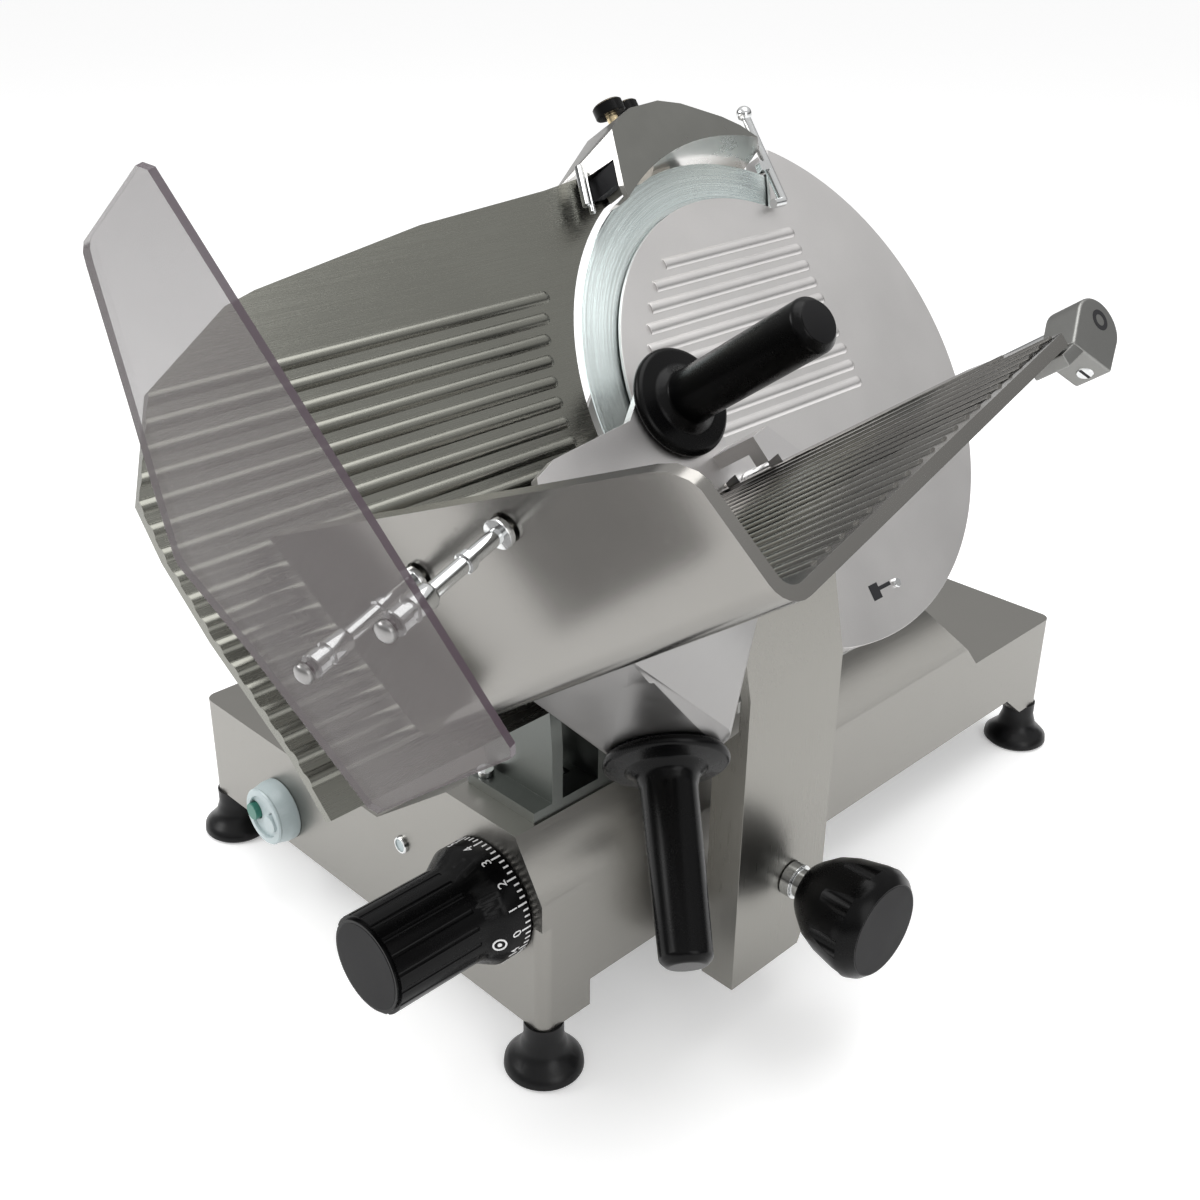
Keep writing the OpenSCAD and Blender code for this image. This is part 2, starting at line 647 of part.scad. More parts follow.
// Removable cover: a plate that reaches over the ring guard, ribbed in line with the gauge plate
module blade_cover() color(ALUMINIUM) on_plate() difference() {
    union() {
        translate([0, 0, cover_z]) linear_extrude(cover_t) {
            circle(cover_r, $fn = 120);
            intersection() {
                circle(ring_r, $fn = 120);
                sector(2 * ring_r, ring_from, ring_to);
            }
        }
        intersection() {
            for (i = [0:cover_ribs - 1]) let (y = rib_first - i * rib_pitch)
                rib(-sqrt(pow(cover_r - 16, 2) - y * y) + rib_r, 66, y, cover_z + cover_t + rib_rise);
            cylinder_from(ring_r, cover_z, 20);
        }
    }
    cylinder_from(tie_r, cover_z - cut, cover_z + 1.5);
}
module cover_tie_rod() color(STEEL) on_plate() cylinder_from(tie_r, knob_z + 6, cover_z + 1.5);
module cover_knob() color(BLACK) on_plate() translate([0, 0, knob_z]) difference() {
    union() {
        cylinder(r = 20, h = 18);
        translate([0, 0, 18]) cylinder(r = 11, h = -knob_z + case_back - 5 - 18 - gap);
    }
    translate([0, 0, 6]) cylinder(r = tie_r, h = 60);
    for (a = [0:45:359]) rotate([0, 0, a]) translate([22, 0, -cut]) cylinder(r = 4.5, h = 20);
}

// Carriage: block on the rod, foot under the side of the base, arm and lock outside it
module slide_block() color(CAST) machine() difference() {
    union() {
        translate([rod_x - 19, block_y, foot_z + foot_t]) cube([38, block_l, 28]);
        translate([steady_x - 9, block_y, foot_z + foot_t + 20]) cube([17, block_l, 31]);
    }
    translate([rod_x, 0, rod_z]) along_y(rod_r + 3, block_y - cut, block_l + 2 * cut);
    translate([steady_x, 0, steady_z]) along_y(steady_r + run_fit, block_y - cut, block_l + 2 * cut);
}
module slide_bushes() color(BRASS) machine() for (y = [block_y + 22, block_y + block_l])
    translate([rod_x, y, rod_z]) rotate([90, 0, 0]) ring(rod_r + 3, rod_r + run_fit, 22);
module carriage_foot() color(CAST) machine() difference() {
    union() {
        translate([rod_x - 14, -152, foot_z]) cube([foot_end_x - rod_x + 14, 54, foot_t]);
        translate([foot_end_x - 14, -152, foot_z]) cube([14, 54, 100]);
        translate([foot_end_x - 14, 0, foot_z + foot_t]) rotate([90, 0, 0]) translate([0, 0, 104])
            linear_extrude(10) polygon([[0, 0], [-16, 0], [0, 34]]);
    }
    translate([0, lock_y, lock_z]) along_x(lock_r + run_fit, 190, 60);
}
function lean_x(z) = arm_x - (z - arm_fold) * tan(arm_lean);
arm_top = 376;
module arm_web() polygon([
    [arm_x - arm_t, arm_low], [arm_x, arm_low], [arm_x, arm_fold], [lean_x(arm_top), arm_top],
    [lean_x(arm_top) - arm_t, arm_top], [arm_x - arm_t, arm_fold]
]);
module arm_side() polygon([
    [arm_x - arm_flange, arm_low], [arm_x, arm_low], [arm_x, arm_fold], [lean_x(arm_top), arm_top],
    [lean_x(arm_top) - arm_flange, arm_top], [arm_x - arm_flange - 4, arm_fold + 28],
    [arm_x - arm_t, arm_fold],
    [arm_x - arm_t, arm_fold - 22], [arm_x - arm_flange, arm_fold - 42]
]);
module under_floor() on_tray() translate([-100, -tray_t, -100]) cube([600, 400, 600]);
module tray_screw_spots() on_tray() for (s = [200, 228], z = [100, 138]) translate([s, -tray_t, z])
    rotate([90, 0, 0]) children();
module carriage_arm() color(ALUMINIUM) difference() {
    union() {
        machine() {
            prism_y(arm_y, arm_y + arm_w) arm_web();
            prism_y(arm_y, arm_y + arm_t) arm_side();
            prism_y(arm_y + arm_w - arm_t, arm_y + arm_w) arm_side();
        }
        on_tray() translate([184, -tray_t - arm_t, 60]) cube([58, arm_t, 95]);
    }
    machine() translate([0, lock_y, lock_z]) along_x(lock_r + run_fit, 190, 60);
    machine() translate([arm_x - 2 * arm_flange, 0, 0]) rotate([90, 0, 90])
        linear_extrude(3 * arm_flange) polygon([
        [arm_y + arm_w + cut, arm_low - cut], [arm_y + arm_w - 20, arm_low - cut],
        [arm_y + arm_w + cut, arm_low + 48]
    ]);
    under_floor();
    // Clear of the pusher's hinge at the far edge of the floor
    on_tray() translate([floor_l - 3, -34, -50]) cube([80, 80, 400]);
    tray_screw_spots() translate([0, 0, -cut]) cylinder(r = 3, h = 12);
}
module tray_screws() color(STEEL) tray_screw_spots() {
    translate([0, 0, -tray_t + 2]) cylinder(r = 3, h = tray_t - 2 + arm_t);
    translate([0, 0, arm_t]) cylinder(r = 5, h = 4);
}
module lock_stud() color(STEEL) machine() translate([0, lock_y, lock_z]) {
    along_x(lock_r, foot_end_x - 20, arm_x + 30 - foot_end_x + 20);
    along_x(lock_r + 4, arm_x + gap, 7);
    along_x(lock_r + 2, arm_x + gap + 7 - cut, 8);
    along_x(lock_r + 4, foot_end_x - 20, 6 - gap);
}
module lock_knob() color(BLACK) machine() translate([arm_x + 16, lock_y, lock_z]) rotate([0, 90, 0])
    difference() {
    rotate_extrude() polygon([
        [0, 0], [lock_d / 2 - 18, 0], [lock_d / 2 - 15, 3], [lock_d / 2 - 8, 12], [lock_d / 2 - 4, 22],
        [lock_d / 2 - 0.5, lock_l - 14], [lock_d / 2, lock_l - 9], [lock_d / 2 - 2, lock_l - 4],
        [lock_d / 2 - 6, lock_l], [0, lock_l]
    ]);
    translate([0, 0, -cut]) cylinder(r = lock_r, h = 14 + cut);
    for (a = [0:45:359]) rotate([0, 0, a]) translate([lock_d / 2 + 4, 0, 3])
        cylinder(r = 8, h = lock_l - 12);
}
// Cast bracket under the tray for the lower handle, which leans as the tray's corner does
module on_handle() on_tray() translate(handle_at) rotate([0, 90 + handle_lean, handle_turn]) children();
module handle_bracket() color(CAST) difference() {
    hull() {
        on_handle() translate([0, 0, -2]) cylinder(r = 22, h = 5, $fn = 32);
        on_handle() translate([-14, -4, 5]) cylinder(r = 21, h = 3, $fn = 32);
        on_tray() translate([34, -tray_t - 6, 40]) cube([122, 6, 80]);
    }
    on_handle() translate([0, 0, -cut]) cylinder(r = 5, h = 24 + cut);
    on_handle() translate([-disc_d, -disc_d, -disc_d]) cube([2 * disc_d, 2 * disc_d, disc_d]);
}
grip_r = grip_d / 2 - handle_slim / 2;
hand_disc_r = disc_d / 2 - handle_slim;
module carriage_handle() color(BLACK) on_handle() {
    rotate_extrude() polygon([
        [0, -handle_l], [grip_r - 5, -handle_l], [grip_r - 1.5, -handle_l + 3.5], [grip_r, -18],
        [grip_r + 1.5, -12], [grip_r + 6, -8], [hand_disc_r - 2, -6.5], [hand_disc_r, -5],
        [hand_disc_r, -2], [hand_disc_r - 2, 0], [0, 0]
    ]);
    translate([0, 0, -cut]) cylinder(r = 5, h = 22);
}

// Tray: ridged floor and front wall as one casting with a filleted valley
valley_a = 90 - wall_splay / 2 - 45;
valley_x = fillet_r / tan(45 + wall_splay / 2);
function arc(r, from, to) = [for (i = [0:6])
    let (a = from + (to - from) * i / 6) [valley_x + r * cos(a), fillet_r + r * sin(a)]];
module vee() polygon(concat(
    [[floor_l, -tray_t], [floor_l, 0]],
    arc(fillet_r, 270, 180 + wall_splay),
    [turned(0, wall_in_h, wall_splay), turned(-tray_t, wall_in_h, wall_splay)],
    arc(fillet_r + tray_t, 180 + wall_splay, 270)
));
module tray() color(ALUMINIUM) difference() {
    union() {
        on_tray() difference() {
            translate([0, 0, tray_in]) linear_extrude(tray_depth - tray_in) vee();
            // Far outer corner of the floor
            translate([0, cut, 0]) floor_sheet(4 * tray_t) polygon([
                [floor_l + cut, tray_depth - rim_cut - cut], [floor_l + cut, tray_depth + cut],
                [floor_l - corner_cut, tray_depth + cut], [floor_l - corner_cut, tray_depth]
            ]);
        }
        on_tray() for (s = [24:ridge_pitch:floor_l - 6]) translate([s, ridge_rise - ridge_r, tray_in + 3])
            cylinder(r = ridge_r,
                h = tray_depth - tray_in - 9 - max(0, s - floor_l + corner_cut) * 3.2, $fn = 24);
        // Lug that holds the inner end of the pusher rod
        on_tray() translate([0, 0, tray_in]) linear_extrude(5) {
            translate([rod_s, rod_h]) circle(knuckle_r);
            translate([floor_l - 8, rod_h - 2]) square([rod_s - floor_l + 8, 8]);
        }
    }
    // The front wall drops towards its outer end, which has a round corner
    on_wall() wall_sheet(-3 * tray_t, 5 * tray_t) polygon([
        [wall_in_h, tray_in - cut], [wall_out_h, tray_depth - 16], [wall_out_h - 3, tray_depth - 8],
        [wall_out_h - 9, tray_depth - 2], [wall_out_h - 16, tray_depth + cut],
        [2 * wall_in_h, tray_depth + cut],
        [2 * wall_in_h, tray_in - cut]
    ]);
    on_wall() for (z = post_spots) translate([-tray_t - cut, post_v, z]) rotate([0, 90, 0])
        cylinder(r = 3, h = tray_t + 2 * cut);
    tray_screw_spots() translate([0, 0, -tray_t + 2]) cylinder(r = 3, h = tray_t);
    on_tray() translate([rod_s, rod_h, tray_in + 1]) cylinder(r = push_rod_r, h = 10);
}
module hand_guard() color(CLEAR) on_wall() difference() {
    wall_sheet(-guard_gap - guard_t, guard_t) polygon([
        [237, 207], [237, 154], [235, 149], [231, 145], [189, 108], [158, 80], [135, 60], [131, 58],
        [88, 60],
        [5, 57], [1, 61], [6, 170], [10, 174], [233, 211]
    ]);
    for (z = post_spots) translate([-guard_gap - guard_t - cut, post_v, z]) rotate([0, 90, 0])
        cylinder(r = 3, h = guard_t + 2 * cut);
}
module guard_standoffs() color(STEEL) on_wall() for (z = post_spots)
    translate([-guard_gap, post_v, z]) rotate([0, 90, 0]) {
    difference() {
        union() {
            cylinder(r = 7, h = 22);
            cylinder(r = 5, h = guard_gap - tray_t);
            translate([0, 0, guard_gap - tray_t - 4]) cylinder(r = 8, h = 4);
        }
        translate([0, 0, -cut]) cylinder(r = 3, h = 14 + cut);
    }
    translate([0, 0, guard_gap - tray_t]) cylinder(r = 3, h = tray_t);
}
module guard_screws() color(BLACK) on_wall() for (z = post_spots)
    translate([-guard_gap - guard_t, post_v, z]) rotate([0, 90, 0]) {
    cylinder(r = 3, h = guard_t + 14);
    translate([0, 0, -4]) cylinder(r = 7, h = 4);
}

// Block at the far outer corner of the floor, which holds the outer end of the pusher rod
module rod_block() color(ALUMINIUM) on_tray() difference() {
    translate([0, 0, block_in]) linear_extrude(tray_depth - block_in) difference() {
        union() {
            translate([rod_s - 3, rod_h - 1.5]) circle(13.6);
            polygon([[227.5, -6.4], [246.1, 2.2], [259.9, -21.2], [242, -29]]);
            translate([floor_l - corner_cut - 8, -tray_t - 7]) square([20, 7]);
        }
        translate([0, -tray_t]) square([floor_l - 13, 3 * tray_t]);
    }
    translate([rod_s, rod_h, block_in - cut]) cylinder(r = push_rod_r, h = tray_depth - block_in);
}
module pusher_rod() color(STEEL) on_tray() translate([rod_s, rod_h, tray_in + 1])
    cylinder(r = push_rod_r, h = tray_depth - tray_in - 3);
knuckle_z = tray_in + 6;
module pusher_collar() color(STEEL) on_tray() translate([rod_s, rod_h, knuckle_z + knuckle_w + gap])
    ring(knuckle_r, push_rod_r + run_fit, collar_l - 2 * gap);
module pusher_plate() color(ALUMINIUM) on_tray() difference() {
    union() {
        for (z = [knuckle_z, knuckle_z + knuckle_w + collar_l]) translate([0, 0, z])
            linear_extrude(knuckle_w) {
            translate([rod_s, rod_h]) circle(knuckle_r);
            polygon([[247.5, -4], [247.5, 4], [238, 4], [238, 20], [252, 20], [264.5, -4]]);
        }
        translate([238, 12, knuckle_z]) cube([14, 8, 2 * knuckle_w + collar_l]);
        translate([0, 0, plate_in]) linear_extrude(plate_t) difference() {
            union() {
                polygon([[112, 8], [116, 4], [238, 4], [252, 16], [259, 46], [226, 78], [200, 64],
                    [140, 71], [124, 68], [114, 54]]);
                translate([grip_s, grip_h]) circle(24);
            }
        }
    }
    translate([rod_s, rod_h, 0]) cylinder(r = push_rod_r + run_fit, h = tray_depth);
    translate([grip_s, grip_h, 0]) cylinder(r = 4, h = 60);
}
module pusher_handle() color(BLACK) on_tray() translate([grip_s, grip_h, plate_in + plate_t]) {
    rotate_extrude() polygon([
        [0, 0], [disc_d / 2 - 4, 0], [disc_d / 2 - 2, 2], [disc_d / 2 - 2, 5], [disc_d / 2 - 4, 7],
        [grip_d / 2 + 5, 8],
        [grip_d / 2, 12], [grip_d / 2, push_grip_l], [grip_d / 2 - 4, push_grip_l + 4],
        [0, push_grip_l + 4]
    ]);
    translate([0, 0, -plate_t]) cylinder(r = 4, h = plate_t + cut);
}

// Sharpener: a housing that straddles the edge, two stones on push buttons, a latch
module slice_a()
    polygon([[-140, 140], [-80, 177], [-55, 181], [-30, 181], [2, 171], [31, 157], [48, 137],
    [48, 120], [-130, 120]]);
module slice_b()
    polygon([[-86, 152], [-42, 186], [-30, 190], [0, 190], [66, 170], [64, 140], [50, 120], [-70, 120]]);
module sharpener_solid() on_plate() hull() {
    translate([0, 0, 30]) linear_extrude(1) slice_a();
    translate([0, 0, -22]) linear_extrude(1) slice_b();
}
module sharpener_housing() color(ALUMINIUM) difference() {
    sharpener_solid();
    on_plate() {
        cylinder_from(clear_r, -60, 60);
        translate([0, 0, -17]) linear_extrude(43)
            polygon([[-62, 130], [-50, 170], [-30, 174], [0, 165], [28, 152], [28, 130]]);
        translate([0, 0, 4]) linear_extrude(22)
            polygon([[-86, 130], [-68, 164], [-58, 172], [-30, 174], [-30, 130]]);
        // Room for the gauge plate to move back
        translate([-gauge_reach, 0, -60]) cube([gauge_reach - 38, gauge_top + gap, 62]);
        for (b = [[button_a, head_a], [button_b, head_b]])
            translate([b[0][0], 0, b[0][1]]) rotate([-90, 0, 0]) {
                cylinder(r = 3.5 + run_fit, h = 260);
                // Flat seat that the pressed head comes down to
                translate([0, 0, b[1] - stone_drop - gap]) cylinder(r = 10, h = 30);
            }
        // Rest on the strut of the blade support
        translate([-20 - gap, 0, -31]) cube([40 + 2 * gap, 176, 31 + ring_back]);
    }
}
module stone(b) color(STONE) on_plate() difference() {
    translate([b[0], stone_q - 14, b[1] - 3]) cylinder(r = 14, h = 6);
    translate([b[0], 0, b[1]]) rotate([-90, 0, 0]) translate([0, 0, stone_q - 6])
        cylinder(r = 2.5, h = 20);
}
module stone_button(b, top) on_plate() translate([b[0], 0, b[1]]) rotate([-90, 0, 0]) {
    color(BRASS) translate([0, 0, stone_q + 0.4]) cylinder(r = 3.5, h = top + 2 - stone_q);
    color(BRASS) translate([0, 0, stone_q - 6]) cylinder(r = 2.5, h = 10);
    color(BLACK) translate([0, 0, top]) cylinder(r = 9, h = 7);
}
module sharpen_button() stone_button(button_a, head_a);
module hone_button() stone_button(button_b, head_b);
module grinding_stone() stone(button_a);
module honing_stone() stone(button_b);
module sharpener_latch() color(STEEL) difference() {
    on_plate() {
        translate([64, 110, 10]) rotate([-90, 0, 0]) cylinder(r = 3, h = 62);
        translate([64, 172, 10]) sphere(5);
        translate([64, 110, 10]) rotate([0, -90, 0]) cylinder(r = 3, h = 10);
        translate([40, 148, 7]) cube([24, 8, 6]);
        translate([40, 132, 7]) cube([24, 6, 6]);
    }
    sharpener_solid();
}

base();
bottom_cover();
feet();
foot_screws();
guide_rod();
steady_rod();
rod_buffers();
cable_gland();
switch_body();
start_button();
stop_button();
pilot_lamp();
dial();
dial_shaft();
gauge_plate();
gauge_slide();
gauge_bolts();
gauge_rod();
gauge_follower();
gauge_post();
blade_support();
support_bolts();
belt_cover();
spindle_bearings();
blade_spindle();
blade_pulley();
blade();
blade_screws();
drive_belt();
motor();
motor_shaft();
motor_pulley();
ring_guard();
blade_cover();
cover_tie_rod();
cover_knob();
slide_block();
slide_bushes();
carriage_foot();
carriage_arm();
lock_stud();
lock_knob();
tray();
tray_screws();
handle_bracket();
carriage_handle();
hand_guard();
guard_standoffs();
guard_screws();
rod_block();
pusher_rod();
pusher_collar();
pusher_plate();
pusher_handle();
sharpener_housing();
sharpen_button();
hone_button();
grinding_stone();
honing_stone();
sharpener_latch();
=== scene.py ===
# %% [markdown]
# # An electric food slicer
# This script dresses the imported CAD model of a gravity-feed slicer. The CAD gives every piece and
# every joint. Here the pieces get softened edges, moulded and cast shapes, and finishes: brushed
# and polished aluminium, a ground steel blade, black plastic grips and a smoked clear guard.

# %% The frame
import json
from math import cos, pi, radians, sin

import bmesh
import bpy
from mathutils import Matrix, Vector


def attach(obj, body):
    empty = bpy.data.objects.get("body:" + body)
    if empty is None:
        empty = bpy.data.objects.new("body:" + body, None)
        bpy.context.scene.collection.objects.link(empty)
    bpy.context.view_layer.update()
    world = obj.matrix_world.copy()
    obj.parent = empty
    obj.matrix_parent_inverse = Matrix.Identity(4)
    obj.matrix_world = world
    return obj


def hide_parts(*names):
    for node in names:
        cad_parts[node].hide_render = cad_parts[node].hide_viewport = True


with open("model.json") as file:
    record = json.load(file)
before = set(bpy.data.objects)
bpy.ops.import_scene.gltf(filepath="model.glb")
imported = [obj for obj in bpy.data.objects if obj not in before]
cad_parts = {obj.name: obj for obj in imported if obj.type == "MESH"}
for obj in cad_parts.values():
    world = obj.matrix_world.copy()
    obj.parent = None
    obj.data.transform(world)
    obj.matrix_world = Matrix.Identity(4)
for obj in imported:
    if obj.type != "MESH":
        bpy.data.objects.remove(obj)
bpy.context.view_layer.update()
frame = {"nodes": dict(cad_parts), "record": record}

record = frame["record"]
MM = 0.001
body_of_node = {n: b for b, nodes in record["behaviour"]["bodies"].items() for n in nodes}
slot_of_node = {p["node"]: p["material_slot"] for p in record["subparts"]}

# %% [markdown]
# The blade leans back by 36 degrees, and the tray, the gauge plate and the sharpener lean with it.
# The CAD drew them in frames of their own, with x along the travel, y up the plate and z out of it.
# The same frames are made here as matrices, so that a detail can be given by the maker's numbers:
# the blade's centre on the machine, and the tray's start on the plate. Packing moved the machine to
# the middle of the shared frame, and MACHINE repeats that.

# %% Frames of the machine, the blade and the tray
def at(base, x, y, z):
    """A frame moved to a point given in millimetres."""
    return base @ Matrix.Translation((x * MM, y * MM, z * MM))


def turn(angle, axis):
    """A turn about an axis, given in degrees."""
    return Matrix.Rotation(radians(angle), 4, axis)


TILT, TRAY_TURN, WALL_TURN = 36, 12.5, 3.5
PACKED_SHIFT = (-96.00184, 98.44097, 0)
BLADE_CENTRE = (112, -10, 350)
TRAY_START = (-334, -99.8, 0)
MACHINE = at(Matrix.Identity(4), *PACKED_SHIFT)
PLATE = at(MACHINE, *BLADE_CENTRE) @ turn(90 - TILT, "Y") @ turn(90, "Z")
TRAY = at(PLATE, *TRAY_START) @ turn(TRAY_TURN, "Z")
WALL = TRAY @ turn(WALL_TURN, "Z")
print("blade centre:", [round(v, 4) for v in PLATE.translation])

# %% [markdown]
# A finish is a network of small sums: noise times a strength plus a colour, and so on. Wiring each
# Math node by hand hides the idea, so one class wraps a socket and lets Python's own signs add
# the nodes.

# %% Shader sums
class Tone:
    """A number, colour or vector inside a material. + - * / add the nodes that work it out."""

    def __init__(self, tree, socket):
        self.tree, self.socket = tree, socket

    def node(self, kind, settings=None, out=0, **values):
        """Adds one node: its settings first, then the values or links of its sockets."""
        made = self.tree.nodes.new("ShaderNode" + kind)
        for name, value in (settings or {}).items():
            if name == "stops":
                ramp = made.color_ramp
                while len(ramp.elements) < len(value):
                    ramp.elements.new(1)
                for stop, (place, shade) in zip(ramp.elements, value):
                    stop.position = place
                    stop.color = (*([shade] * 3 if isinstance(shade, (int, float)) else shade), 1)
            else:
                setattr(made, name, value)
        for name, value in values.items():
            key = int(name[1:]) if name[0] == "_" else name.replace("_", " ")
            socket = made.inputs[key]
            if isinstance(value, Tone):
                self.tree.links.new(value.socket, socket)
            else:
                socket.default_value = value
        return Tone(self.tree, made.outputs[out])

    def sum(self, operation, first, second=0.0):
        """One Math node, or a Vector Math node where this is a vector."""
        if self.socket.type == "VECTOR":
            return self.node("VectorMath", {"operation": operation}, _0=first, _1=second)
        return self.node("Math", {"operation": operation}, _0=first, _1=second)

    def __add__(self, other):
        return self.sum("ADD", self, other)

    def __radd__(self, other):
        return self.sum("ADD", other, self)

    def __sub__(self, other):
        return self.sum("SUBTRACT", self, other)

    def __rsub__(self, other):
        return self.sum("SUBTRACT", other, self)

    def __mul__(self, other):
        return self.sum("MULTIPLY", self, other)

    def __rmul__(self, other):
        return self.sum("MULTIPLY", other, self)

    def between(self, low, high):
        """0 below low, 1 above high, smooth between."""
        return self.node("MapRange", {"interpolation_type": "SMOOTHSTEP"},
                         Value=self, From_Min=low, From_Max=high)

    def mix(self, first, second):
        """first where this is 0, second where it is 1; colours."""
        def full(c):
            return c if isinstance(c, Tone) or len(c) == 4 else (*c, 1)
        return self.node("Mix", {"data_type": "RGBA"}, out=2, _0=self, _6=full(first), _7=full(second))


print("shader sums ready")

# %% [markdown]
# Every finish starts from the Principled shader and from the place on the machine, which is taken in
# millimetres so that a grain size can be written as a real size. Noise that is squeezed on one axis
# of a frame turns into lines, which is how brushing and wiping marks are made further down.

# %% Helpers for finishes
def finish_of(name, **fixed):
    """A new material: its Principled shader, with fixed sockets set, and its place in millimetres."""
    material = bpy.data.materials.new(name)
    material.use_nodes = True
    tree = material.node_tree
    shader = tree.nodes["Principled BSDF"]
    for socket, value in fixed.items():
        shader.inputs[socket.replace("_", " ")].default_value = value
    place = Tone(tree, None).node("TexCoord", out=3)
    place = place.node("VectorMath", {"operation": "SCALE"}, _0=place, Scale=1000.0)
    return material, shader, place


def wire(shader, **tones):
    """Links tones to the shader's sockets."""
    for name, tone in tones.items():
        tone.tree.links.new(tone.socket, shader.inputs[name.replace("_", " ")])


def noise(place, scale, detail=3.0, rough=0.5):
    """Noise between 0 and 1; a larger scale gives a finer grain."""
    return place.node("TexNoise", Vector=place, Scale=scale, Detail=detail, Roughness=rough)


def along(place, direction):
    """How far a place, or a normal, reaches along a direction."""
    return place.node("VectorMath", {"operation": "DOT_PRODUCT"}, out=1,
                      _0=place, _1=tuple(direction))


def stretched(place, base, x, y, z):
    """The place seen in another frame and scaled on its axes, so that noise turns into lines."""
    axes = [base.to_3x3().col[i] for i in range(3)]
    parts = [along(place, a * s) for a, s in zip(axes, (x, y, z))]
    return place.node("CombineXYZ", X=parts[0], Y=parts[1], Z=parts[2])


def bump(tone, strength, distance=0.001):
    """Normals that lean as if the tone were a height; the distance is in metres."""
    return tone.node("Bump", Height=tone, Strength=strength, Distance=distance)


print("finish helpers ready")

# %% [markdown]
# Brushed aluminium shows fine parallel lines, faint clouds where hands and cloths have been, and a
# soft broad gloss. The anisotropic shader could stand in for the lines, but it left dark blotches on
# the wide flat sides, so they are drawn. They feed colour, roughness and bump, because real scratches
# change how light spreads and not only the colour. Castings get an even grain and turned steel rings.

# %% Aluminium and steel
def brushed(name, base, colour, rough, lines=(0.02, 1.6, 1.6), deep=0.06, cloud=0.05, streak=0.10):
    """Brushed metal: lines tells how the noise is squeezed on the three axes of a frame."""
    material, shader, place = finish_of(name, Metallic=1.0)
    line = noise(stretched(place, base, *lines), 1.0, 4.0, 0.6)
    haze = noise(place, 0.012, 3.0)
    spots = noise(place, 0.35, 2.0).between(0.62, 0.75)
    tone = line * streak + haze * cloud * 2 + (0.90 - cloud)
    shade = tone.node("VectorMath", {"operation": "SCALE"}, _0=colour, Scale=tone)
    wire(shader, Base_Color=shade, Normal=bump(line, deep),
         Roughness=line * (1.6 * streak) + haze * 0.10 + spots * 0.05 + (rough - 0.05 - 0.8 * streak))
    return material


def cast(name, colour, rough, grain=0.9, deep=0.12, front=None):
    """A blasted or tumbled casting: a fine even grain with soft clouds. Its front faces can be given a
    darker colour as painted shade.
    """
    material, shader, place = finish_of(name, Metallic=1.0)
    fine = noise(place, grain, 3.0, 0.6)
    haze = noise(place, 0.02, 3.0)
    tone = fine * 0.12 + haze * 0.14 + 0.87
    # Painted shade: where front is given, faces turned to its frame's z axis get its darker colour.
    if front:
        facing = along(place.node("TexCoord", out=1), front[0].to_3x3().col[2])
        colour = facing.between(0.75, 0.95).mix(colour, front[1])
    shade = tone.node("VectorMath", {"operation": "SCALE"}, _0=colour, Scale=tone)
    wire(shader, Base_Color=shade, Normal=bump(fine, deep),
         Roughness=fine * 0.12 + haze * 0.14 + (rough - 0.13))
    return material


def turned(name, base, colour, rough, rings=1.4, deep=0.05):
    """Turned or ground metal: rings round the z axis of a frame."""
    material, shader, place = finish_of(name, Metallic=1.0)
    centre = base.translation / MM
    offset = place.node("VectorMath", {"operation": "SUBTRACT"}, _0=place, _1=tuple(centre))
    x, y = along(offset, base.to_3x3().col[0]), along(offset, base.to_3x3().col[1])
    reach = (x * x + y * y).node("Math", {"operation": "SQRT"}, _0=x * x + y * y)
    ring = noise(reach.node("CombineXYZ", X=reach * rings), 1.0, 3.0, 0.6)
    haze = noise(place, 0.02, 3.0)
    tone = ring * 0.14 + haze * 0.10 + 0.88
    shade = tone.node("VectorMath", {"operation": "SCALE"}, _0=colour, Scale=tone)
    wire(shader, Base_Color=shade, Normal=bump(ring, deep),
         Roughness=ring * 0.16 + haze * 0.08 + (rough - 0.12))
    return material


base_skin = brushed("base_brushed", MACHINE, (0.285, 0.277, 0.258), 0.33, lines=(1.5, 0.03, 1.5))
gauge_skin = brushed("gauge_anodised", PLATE, (0.205, 0.205, 0.182), 0.27, lines=(0.02, 1.8, 1.8))
cover_skin = cast("cover_matt", (0.68, 0.665, 0.655), 0.36, grain=1.6, deep=0.03)
guard_ring_skin = cast("ring_matt", (0.66, 0.645, 0.64), 0.40, grain=1.6, deep=0.03)
# Painted shade: the sharpener's flat front gets a darker grey than its cheek and top.
sharpener_skin = cast("sharpener_satin", (0.62, 0.61, 0.59), 0.30, grain=0.06, deep=0.004,
                      front=(PLATE, (0.21, 0.21, 0.195)))
arm_skin = brushed("arm_brushed", MACHINE, (0.275, 0.268, 0.247), 0.30, lines=(1.5, 1.5, 0.03))
tray_skin = brushed("tray_polished", TRAY, (0.30, 0.291, 0.274), 0.21, lines=(0.01, 1.0, 1.0),
                    deep=0.006, cloud=0.09, streak=0.03)
cast_skin = cast("casting_grey", (0.25, 0.25, 0.24), 0.42)
# Painted shade: the grey casting made darker for the pieces that sit in shade under the tray.
shaded_cast = cast("casting_painted_shade", (0.13, 0.138, 0.13), 0.40)
bright_cast = cast("casting_polished", (0.29, 0.284, 0.28), 0.34, grain=0.10, deep=0.02)
blade_skin = turned("blade_ground", PLATE, (0.76, 0.84, 0.83), 0.22, rings=2.2, deep=0.45)
steel_skin = cast("steel_bright", (0.66, 0.67, 0.67), 0.13, grain=0.8, deep=0.01)
brass_skin = cast("brass_turned", (0.66, 0.54, 0.34), 0.24, grain=1.2, deep=0.02)
print("materials so far, with the CAD's own:", len(bpy.data.materials))

# %% [markdown]
# The grips, the dial and the lock knob are moulded in black thermoset. It is glossy, but handling
# leaves a fine haze and small scratches, so roughness varies a little over the surface. The same
# recipe with other numbers gives the rubber of the feet, the stones, the belt and the switch.

